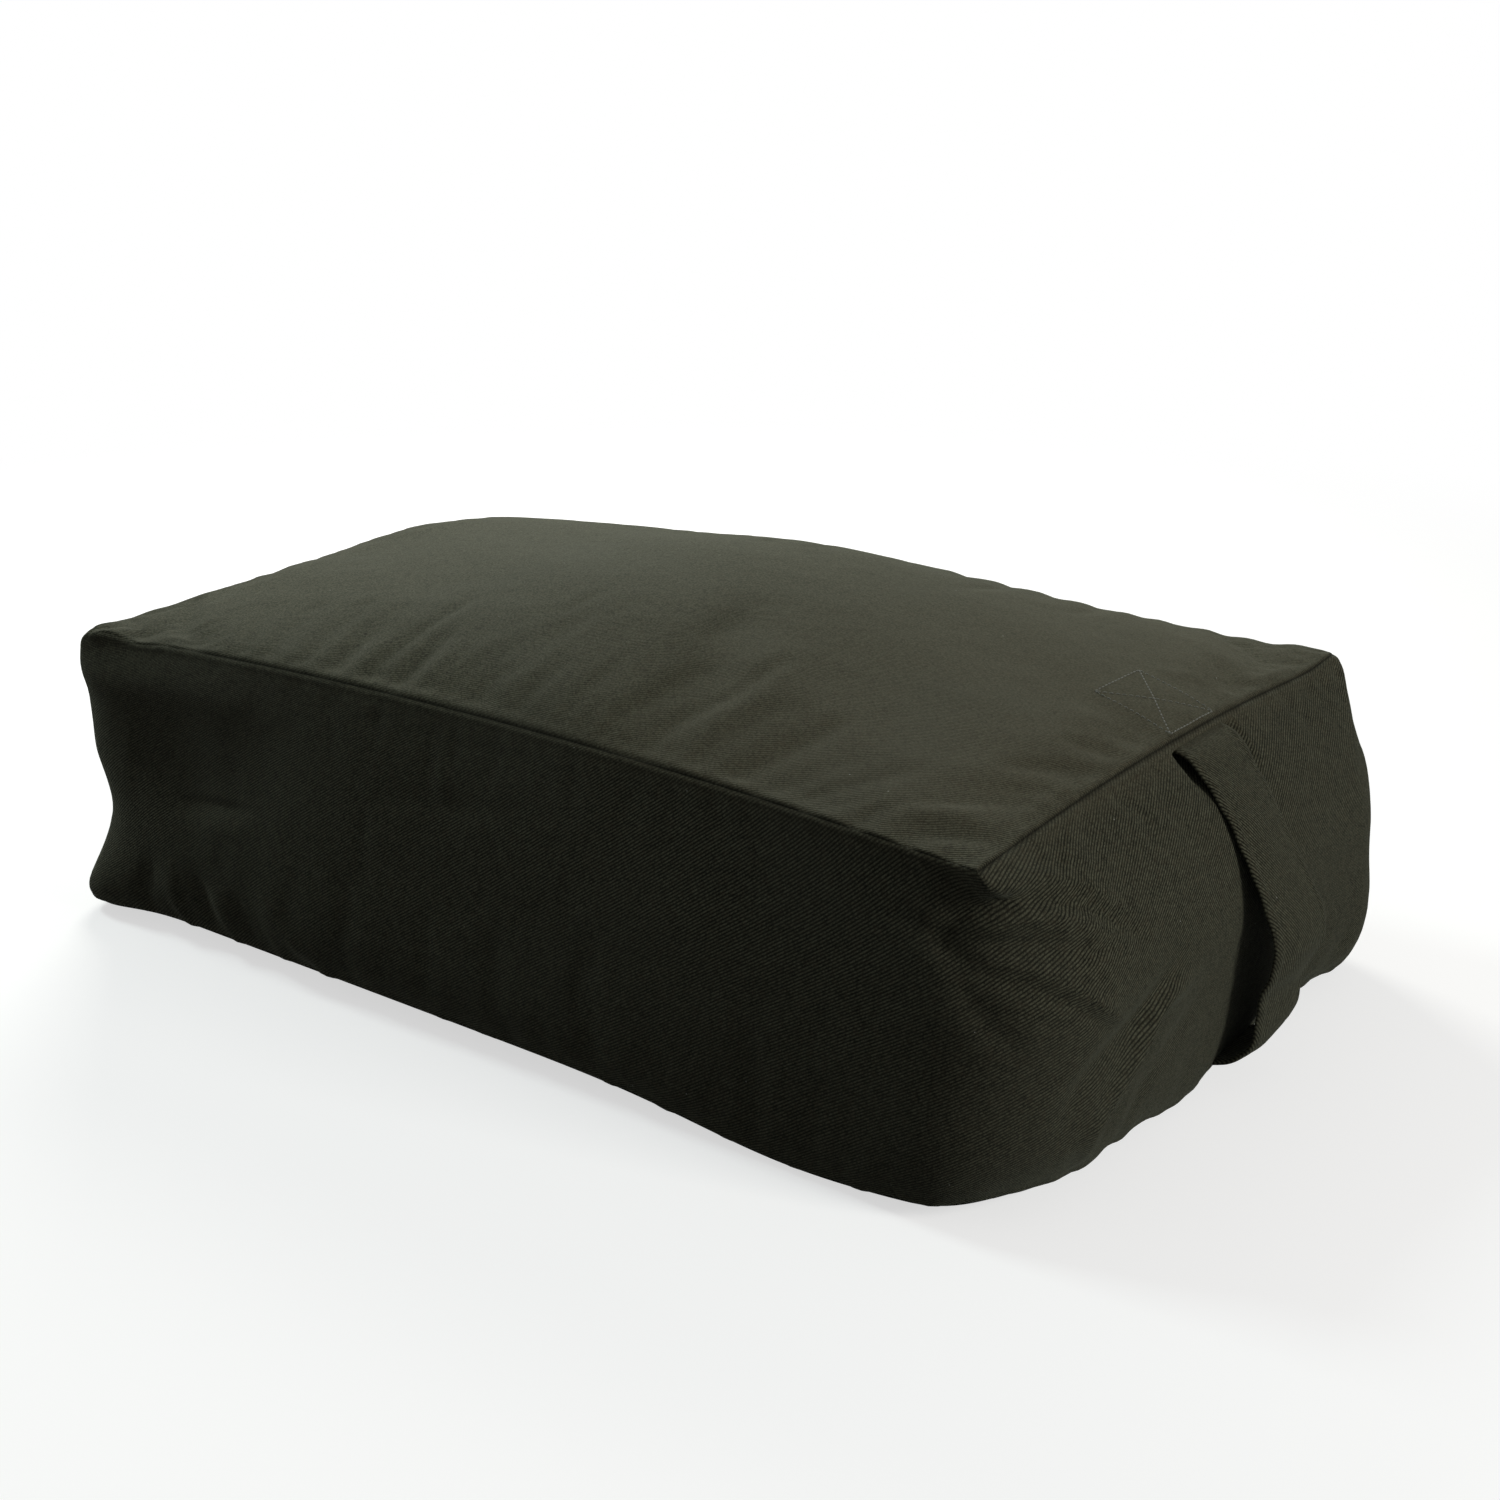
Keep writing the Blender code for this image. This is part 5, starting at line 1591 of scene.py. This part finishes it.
@dataclass
class Stitching:
    """Rows of single stitches, each a short rounded bar that sinks at both ends."""

    length: float = 2.5 * MM
    pitch: float = 3.1 * MM
    radius: float = 0.30 * MM
    stand: float = 0.12 * MM
    rings: int = 7
    sides: int = 6

    def bars(self, middles: Array, ways: Array, ups: Array) -> tuple[Array, Array]:
        """A bar at each middle: radius r sqrt(1 - (2t)^4) round an arch that falls at its ends.

        Args:
            middles: Middle of each stitch on the cloth.
            ways: Unit direction of each stitch.
            ups: Unit normal of the cloth at each stitch.

        Returns:
            The points and the faces.
        """
        t = np.linspace(-0.5, 0.5, self.rings)[:, None]
        turn = np.arange(self.sides)[None] * 2 * pi / self.sides
        thick = self.radius * np.sqrt(np.maximum(1 - (2 * t) ** 4, 0.03))
        rise = thick * np.cos(turn) + self.stand + self.radius * (0.5 - 5.0 * t**2)
        local = np.stack([t * self.length + 0 * turn, rise, thick * np.sin(turn)], -1).reshape(-1, 3)
        axes = np.stack([ways, ups, unit(np.cross(ups, ways))], 1)
        count = len(local)
        cap = np.array([[0, 5, 4, 1], [1, 4, 3, 2]])
        tube = quads(wrapped(np.arange(count).reshape(self.rings, self.sides)))
        one = np.concatenate([tube, cap, cap[:, ::-1] + count - self.sides])
        faces = one[None] + (np.arange(len(middles)) * count)[:, None, None]
        return (middles[:, None] + local @ axes).reshape(-1, 3), faces.reshape(-1, 4)

    def laid(
        self, name: str, lines: list[tuple[Array, Array]], onto: Callable, finish: Material
    ) -> Piece:
        """Lay rows of stitches on a surface.

        Args:
            name: The piece's name.
            lines: Start and end of each row, in the surface's own two coordinates.
            onto: Gives points and normals for arrays of the two coordinates.
            finish: The thread.

        Returns:
            The stitches.
        """
        middles, ways, ups = [], [], []
        for start, end in lines:
            count = max(int(np.linalg.norm(end - start) / self.pitch), 1)
            run = start + (end - start) * (np.arange(count)[:, None] + 0.5) / count
            points, normals = onto(run[:, 0], run[:, 1])
            middles.append(points)
            ways.append(unit(np.gradient(points, axis=0)))
            ups.append(normals)
        points, faces = self.bars(*(np.concatenate(part) for part in (middles, ways, ups)))
        return dressed(solid_object(name, points, faces), finish, Slot.TWILL)

    def build(self, cover: Cover, finish: Material) -> list[Piece]:
        """Stitch the strap's box and round the zip's slot.

        Args:
            cover: The cover that they are sewn on.
            finish: The thread.

        Returns:
            Both sets of stitches.
        """
        reach = cover.slot_half_length + cover.slot_margin
        off = cover.slot_half_width + cover.slot_stitch
        signs = np.array([(-1, -1), (1, -1), (1, 1), (-1, 1), (-1, -1)])
        corners = np.array([0.0, FORM.belly_height]) + signs * np.array([reach, off])
        round_slot = list(zip(corners[:-1], corners[1:]))
        return [
            self.laid("strap_box_stitches", STITCH_BOX.lines(), cover.at_top, finish),
            self.laid("zip_stitches", round_slot, cover.at_back, finish),
        ]


@dataclass
class Strap:
    """Folded twill strap with hemmed edges, slightly bowed and twisted where it is free."""

    stations: int = 260
    across: int = 30
    twill: float = -55.0
    bow: float = 1.6 * MM
    lean: float = 1.2 * MM
    lean_length: float = 0.13
    ripple: Waves = Waves(0.35 * MM, (14 * MM, 50 * MM), 6, 41)
    free_start: Range = (0.052, 0.075)
    free_end: Range = (0.055, 0.075)
    roundness: float = 0.55
    squareness: int = 26
    hem_height: float = 0.16
    hem_ridge: Range = (0.86, 0.07)
    hem_groove: Range = (0.74, 0.06)
    floor_height: float = 0.012
    floor_tilt: float = 0.2

    def section(self) -> tuple[Array, Array]:
        """Closed outline: heights half thick * (1 - |a|^n)^(1/2) at shares a of the half width.

        Returns:
            The shares and the heights.
        """
        turn = np.linspace(-pi, pi, 2 * self.across, endpoint=False)
        share = np.sign(np.cos(turn)) * np.abs(np.cos(turn)) ** self.roundness
        rise = np.sign(np.sin(turn)) * np.sqrt(np.maximum(1 - np.abs(share) ** self.squareness, 0.0))
        (ridge, ridge_width), (groove, groove_width) = self.hem_ridge, self.hem_groove
        hem = bell(np.abs(share) - ridge, ridge_width) - bell(np.abs(share) - groove, groove_width)
        return share, rise * (1 + self.hem_height * hem) * STRAP.thickness / 2

    def build(self, finish: Material) -> Piece:
        """Carry the section along the strap's line.

        Args:
            finish: The twill.

        Returns:
            The strap.
        """
        line = STRAP.line(self.stations)
        way = unit(np.gradient(line, axis=0))
        out = np.stack([-way[:, 1], way[:, 0]], -1)
        out = out * np.where(out[:, :1] < 0, -1, 1)
        low = line[:, 1] < self.floor_height
        out[low] = unit(out[low] + np.array([0.0, -self.floor_tilt]))
        gone = gone_along(line)[:, None]
        share, rise = (part[None] for part in self.section())
        flat = share * (STRAP.width / 2) + 0 * gone
        free = smooth_step(gone, *self.free_start) * smooth_step(gone[-1] - gone, *self.free_end)
        twist = self.lean * share * np.sin(gone * 2 * pi / self.lean_length)
        height = rise + free * (twist - self.bow * share**2 + self.ripple.at(gone + 0 * flat, flat))
        x, z = line[:, :1] + out[:, :1] * height, line[:, 1:] + out[:, 1:] * height
        points = np.stack([x, STRAP.off_centre + flat, np.maximum(z, STRAP.clearance)], -1)
        count = share.size
        numbers = np.arange(flat.size).reshape(flat.shape)
        k = np.arange(1, count // 2)
        cap = np.stack([k - 1, k, count - 1 - k, (count - k) % count], -1)
        faces = np.concatenate([quads(wrapped(numbers)), cap, cap[:, ::-1] + numbers[-1, 0]])
        cloth = cloth_turn(flat, -gone + 0 * flat, self.twill).reshape(-1, 2)[faces]
        piece = turned_out(solid_object("strap", points.reshape(-1, 3), faces, cloth))
        return dressed(piece, finish, Slot.TWILL, "handle_strap")


# The zip


@dataclass
class Zip:
    """Moulded chain on woven tapes, with its stops, slider and pull."""

    tape_depth: float = 2.7 * MM
    tape_thickness: float = 0.6 * MM
    tape_inner: float = 2.4 * MM
    tape_width: float = 12.0 * MM
    tape_half_length: float = 0.2212
    tape_ripple: float = 0.12 * MM
    bevel: float = 0.16 * MM
    teeth: tuple[str, ...] = ("zip_teeth_upper", "zip_teeth_lower")
    movers: tuple[str, ...] = ("zip_slider", "zip_pull")
    stops: tuple[str, ...] = ("zip_top_stop_upper", "zip_top_stop_lower", "zip_bottom_stop")

    def tape(self, half: Half, finish: Material) -> Piece:
        """One tape: the side's form moved in by the tape's depth, with a slight wave along its edge.

        Args:
            half: Whether it is the tape above the chain or the one below.
            finish: The woven cloth.

        Returns:
            The tape.
        """
        x = np.linspace(-self.tape_half_length, self.tape_half_length, 260)
        x, edge = np.meshgrid(x, np.linspace(self.tape_inner, self.tape_inner + self.tape_width, 12))
        u = x / FORM.belly_half_length
        w = FORM.back_level(u, half.value * edge)
        normal = -normal_at(FORM.back, u, w, 1e-3)
        ripple = Waves(self.tape_ripple, (20 * MM, 60 * MM), 4, 51 + half.value).at(x, edge)
        ripple = ripple * smooth_step(edge, self.tape_inner + 1 * MM, self.tape_inner + 6 * MM)
        face = FORM.back(u, w) - normal * (self.tape_depth + ripple)[..., None]
        back, no_rows = face - normal * self.tape_thickness, np.empty((0, 2 * sum(u.shape) - 4, 3))
        points, faces = shell(back, face, no_rows)
        name = "tape_" + half.name.lower()
        cloth = np.stack([x, edge], -1).reshape(-1, 2)[faces % x.size]
        piece = turned_out(solid_object(name, points, faces, cloth))
        dressed(piece, finish, Slot.TAPE, "zip_" + name)
        return piece

    def softened(self, node: str, finish: Material) -> Piece:
        """Copy of a metal node with merged points and narrow bevels on its edges.

        Args:
            node: The node.
            finish: The enamel.

        Returns:
            The copy.
        """
        shape = bmesh.new()
        shape.from_mesh(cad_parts[node].data)
        bmesh.ops.remove_doubles(shape, verts=shape.verts, dist=0.01 * MM)
        flat = [e for e in shape.edges if e.is_manifold and e.calc_face_angle(0) < radians(1)]
        bmesh.ops.dissolve_edges(shape, edges=flat, use_verts=True)
        sharp = [e for e in shape.edges if e.is_manifold and e.calc_face_angle(0) > radians(35)]
        settings = {"segments": 2, "profile": 0.6, "affect": "EDGES", "clamp_overlap": True}
        bmesh.ops.bevel(shape, geom=sharp, offset=self.bevel, **settings)
        bmesh.ops.triangulate(shape, faces=shape.faces)
        mesh = bpy.data.meshes.new(node + "_cast")
        shape.to_mesh(mesh)
        shape.free()
        mesh.shade_smooth()
        mesh.set_sharp_from_angle(angle=radians(40))
        piece = bpy.data.objects.new(mesh.name, mesh)
        bpy.context.scene.collection.objects.link(piece)
        return dressed(piece, finish, Slot.METAL, node, body=node if node in self.movers else "root")

    def build(self, cloth: Material, plastic: Material, metal: Material) -> list[Piece]:
        """Dress the tapes, the rows of teeth and the metal pieces.

        Args:
            cloth: The tapes' finish.
            plastic: The teeth's finish.
            metal: The finish of the slider, the pull and the stops.

        Returns:
            The new pieces.
        """
        tapes = [self.tape(half, cloth) for half in Half]
        for node in self.teeth:
            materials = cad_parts[node].data.materials
            materials.clear()
            materials.append(plastic)
        return tapes + [self.softened(node, metal) for node in self.movers + self.stops]


# What is inside


@dataclass
class Stuffing:
    """The liner and the layers of batting in it."""

    cover: Cover
    liner_depth: float = 8.5 * MM
    liner_unevenness: float = 0.8 * MM
    zip_dip: float = 5.0 * MM
    zip_room: float = 16 * MM
    zip_share: float = 0.85
    strap_dip: float = 5.0 * MM
    strap_room: float = 12 * MM
    strap_levels: Range = (0.45, 0.9)
    top_dip: float = 4.0 * MM
    corner_room: float = 55 * MM
    seam_levels: Range = (0.7, 1.0)
    sewn_x: Range = (0.205, 0.228)
    sewn_half_width: float = 40 * MM
    layers: int = 5
    inset: float = 12.5 * MM
    gap: float = 0.4 * MM
    layer_unevenness: float = 0.5 * MM
    floor_gap: Range = (6 * MM, 5 * MM)
    roof_gap: Range = (8 * MM, 6 * MM)
    rim_draw: float = 0.02

    def liner(self, finish: Material) -> Piece:
        """The cover's form, moved in by the liner's depth.

        Args:
            finish: The cotton.

        Returns:
            The liner.
        """
        u, v = np.meshgrid(np.linspace(-1, 1, 91), np.linspace(-1, 1, 61))
        ring, ring_u, ring_v = ring_of(u, v)
        w = np.concatenate([np.linspace(-1, 0, 22), np.linspace(0, 1, 22)[1:]])[:, None]
        side = FORM.side(ring_u[None], ring_v[None], w)
        x, y, z = np.moveaxis(side, -1, 0)
        near_zip = bell(z - FORM.belly_height, self.zip_room) * (ring_v > ON_EDGE)
        near_zip = near_zip * (np.abs(ring_u) < self.zip_share)
        behind = (np.abs(y - STRAP.off_centre) < STRAP.width / 2 + self.strap_room) * (ring_u > ON_EDGE)
        corner = np.hypot(x - FORM.top_half_length, y + FORM.top_half_width)
        near_corner = bell(np.hypot(corner, z - FORM.top_corner_height), self.corner_room)
        waves = Waves(self.liner_unevenness, (40 * MM, 120 * MM), 5, 61)
        uneven = waves.at(x, z) + self.liner_unevenness
        behind = self.strap_dip * smooth_step(np.abs(w), *self.strap_levels) * behind
        dips = self.zip_dip * near_zip + behind
        deep = self.liner_depth + uneven + self.top_dip * near_corner + dips
        side = side - grid_normals(side, wrap=True) * deep[..., None]
        low_share, high_share = (smooth_step(level, *self.seam_levels) for level in (-w, w))
        side[..., 2] += self.liner_depth * (low_share - high_share)
        top = FORM.top(u, v)
        aside = np.abs(top[..., 1] - STRAP.off_centre)
        sewn = smooth_step(top[..., 0], *self.sewn_x) * (aside < self.sewn_half_width)
        top = top - grid_normals(top) * (self.liner_depth + self.top_dip * sewn)[..., None]
        bottom = FORM.bottom(u, v) + np.array([0, 0, self.liner_depth])
        points, faces = joined(bottom, top, side, ring)
        points = self.cover.settled(points)
        piece = turned_out(solid_object("liner", points, faces, points[faces][..., :2]))
        return dressed(piece, finish, Slot.COTTON, "liner_top", "liner_bottom", "liner_boxing", fill=0.9)

    def layer(self, index: int, finish: Material) -> Piece:
        """One layer of batting: a slab between two shares of the height, with round edges.

        Args:
            index: Number of the layer, from 0 at the bottom.
            finish: The batting.

        Returns:
            The layer.
        """
        u, v = np.meshgrid(np.linspace(-1, 1, 61), np.linspace(-1, 1, 41))
        far = np.maximum(np.maximum(np.abs(u), np.abs(v)), 1e-4)
        keep_x, keep_y = 1 - self.inset / FORM.belly_half_length, 1 - self.inset / FORM.belly_half_width
        below, above = (middle + rim * far**4 for middle, rim in (self.floor_gap, self.roof_gap))
        base = FORM.bottom(u * keep_x, v * keep_y)[..., 2] + below
        roof = FORM.top(u * keep_x, v * keep_y)[..., 2] - above

        def level(share: float, part: float) -> Array:
            """Points at a share of the height.

            Args:
                share: The share, from 0 at the bottom.
                part: Share of the draw at the rim, from 0 to 1.

            Returns:
                The points.
            """
            edge = FORM.side(u / far, v / far, np.full_like(u, 2 * share - 1))
            shrink = far * (1 - self.rim_draw * part * far**6)
            x, y = edge[..., 0] * shrink * keep_x, edge[..., 1] * shrink * keep_y
            return np.stack([x, y, base + (roof - base) * share], -1)

        low, high = index / self.layers, (index + 1) / self.layers
        lower, upper = level(low, 1.0), level(high, 1.0)
        uneven = Waves(self.layer_unevenness, (30 * MM, 80 * MM), 5, 71 + index).at(u * 0.3, v * 0.2)
        upper[..., 2] -= self.gap + self.layer_unevenness + uneven
        ring = rim_numbers(*u.shape)
        grids = (lower, level((low + high) / 2, 0.0), upper)
        first, middle, last = (grid.reshape(-1, 3)[ring] for grid in grids)
        between = np.stack([(first + 3 * middle) / 4, middle, (last + 3 * middle) / 4])
        points, faces = shell(lower, upper, between)
        piece = turned_out(solid_object(f"batting_{index + 1}", points, faces, points[faces][..., :2]))
        return dressed(piece, finish, Slot.BATTING, f"batt_layer_{index + 1}", fill=0.7)

    def build(self, cotton: Material, batting: Material) -> list[Piece]:
        """Make the liner and its layers."""
        return [self.liner(cotton), *(self.layer(index, batting) for index in range(self.layers))]


# Studio


@dataclass(frozen=True)
class Lamp:
    """A soft rectangular light."""

    name: str
    place: Place
    size: float
    power: float
    colour: Colour


@dataclass
class Studio:
    """Camera at the photograph's view, pale floor and soft light."""

    azimuth: float = 37.63
    elevation: float = 20.75
    distance: float = 1.1772
    lens: float = 51.44
    sensor: float = 36.0
    shift: Range = (0.03157, 0.03847)
    target: Place = (0.0, 0.0, 0.07)
    lamp_target: Place = (0.0, 0.0, 0.10)
    lamps: tuple[Lamp, ...] = (
        Lamp("back_light", (-1.15, 0.90, 0.85), 0.6, 19.0, (1.0, 1.0, 0.93)),
        Lamp("left_light", (-1.15, -0.30, 1.45), 0.4, 9.5, (0.87, 1.0, 0.98)),
        Lamp("right_light", (1.65, 0.02, 0.75), 0.45, 12.6, (1.0, 0.99, 0.94)),
    )
    ambient: float = 0.17
    floor_half: float = 6.0
    floor_drop: float = 0.4 * MM
    floor_reach: Range = (0.70, 1.5)
    floor_dim: float = 0.12
    floor_lit: float = 0.50
    floor_glow: float = 0.62

    def placed(self, data: bpy.types.Camera | bpy.types.Light, place: Vector, target: Place) -> Piece:
        """Put a camera or a light in the scene, facing a target.

        Args:
            data: The camera or the light.
            place: Where it stands.
            target: What it faces.

        Returns:
            Its object.
        """
        made = bpy.data.objects.new(data.name, data)
        made.location = place
        made.rotation_euler = (Vector(target) - place).to_track_quat("-Z", "Y").to_euler()
        bpy.context.scene.collection.objects.link(made)
        return made

    def camera(self) -> None:
        """Place the camera on its sphere round the target."""
        data = bpy.data.cameras.new("camera")
        data.lens, data.sensor_width, data.clip_start = self.lens, self.sensor, 0.01
        data.shift_x, data.shift_y = self.shift
        az, el = radians(self.azimuth), radians(self.elevation)
        back = Vector((sin(az) * cos(el), -cos(az) * cos(el), sin(el)))
        place = Vector(self.target) + back * self.distance
        bpy.context.scene.camera = self.placed(data, place, self.target)

    def light(self, lamp: Lamp) -> None:
        """Add a lamp, aimed at the cushion.

        Args:
            lamp: The lamp.
        """
        data = bpy.data.lights.new(lamp.name, "AREA")
        data.energy, data.size, data.color = lamp.power, lamp.size, lamp.colour
        self.placed(data, Vector(lamp.place), self.lamp_target)

    def floor(self) -> None:
        """A wide pale floor, white to the camera and darker to the cushion, that keeps its shadow."""
        x, y = np.meshgrid([-self.floor_half, self.floor_half], [-self.floor_half, self.floor_half])
        points = np.stack([x, y, np.full_like(x, -self.floor_drop)], -1).reshape(-1, 3)
        piece = solid_object("floor", points, grid_faces(2, 2))
        net = Net(bpy.data.materials.new("floor"))
        dim, lit = (
            net.node("ShaderNodeBsdfDiffuse", {}, {"Color": shade(WHITE, tone)})
            for tone in (self.floor_dim, self.floor_lit)
        )
        glow, white = (
            net.node("ShaderNodeEmission", {}, {"Color": shade(WHITE), "Strength": strength})
            for strength in (self.floor_glow, 1.0)
        )
        near = net.node("ShaderNodeAddShader", {}, {0: lit, 1: glow})
        away = net.node("ShaderNodeVectorMath", {"operation": "LENGTH"}, {0: net.place()}, "Value")
        far = away.above(*self.floor_reach)
        shown = net.node("ShaderNodeMixShader", {}, {0: far, 1: near, 2: white})
        both = net.node("ShaderNodeMixShader", {}, {0: net.seen(), 1: dim, 2: shown})
        piece.data.materials.append(net.closed(both))

    def sky(self) -> None:
        """White behind the object for what the camera and reflections see, and a dim even light."""
        net = Net(bpy.data.worlds.new("studio"))
        inputs = {"Value": net.seen(), "To Min": self.ambient, "To Max": 1.0}
        strength = net.node("ShaderNodeMapRange", {}, inputs)
        background = net.node("ShaderNodeBackground", {}, {"Color": shade(WHITE), "Strength": strength})
        bpy.context.scene.world = net.closed(background, "ShaderNodeOutputWorld")

    def build(self) -> None:
        """Set up the view."""
        self.camera()
        self.floor()
        self.sky()
        for lamp in self.lamps:
            self.light(lamp)
        bpy.context.scene.view_settings.view_transform = "Standard"


def main() -> None:
    """Build the studio and each sub-assembly in order, and report each piece."""
    logging.basicConfig(level=logging.INFO, format="%(name)s: %(message)s")
    Studio().build()
    twill = Twill().material()
    cover = Cover(Settling().run())
    pieces = [
        cover.build(twill),
        Strap().build(twill),
        *Stitching().build(cover, Thread().material()),
        *Zip().build(WovenTape().material(), MouldedPlastic().material(), Enamel().material()),
        *Stuffing(cover).build(PlainCotton().material(), Batting().material()),
    ]
    for piece in pieces:
        LOG.info("%s: %d points", piece.name, len(piece.data.vertices))


if __name__ == "__main__":
    main()
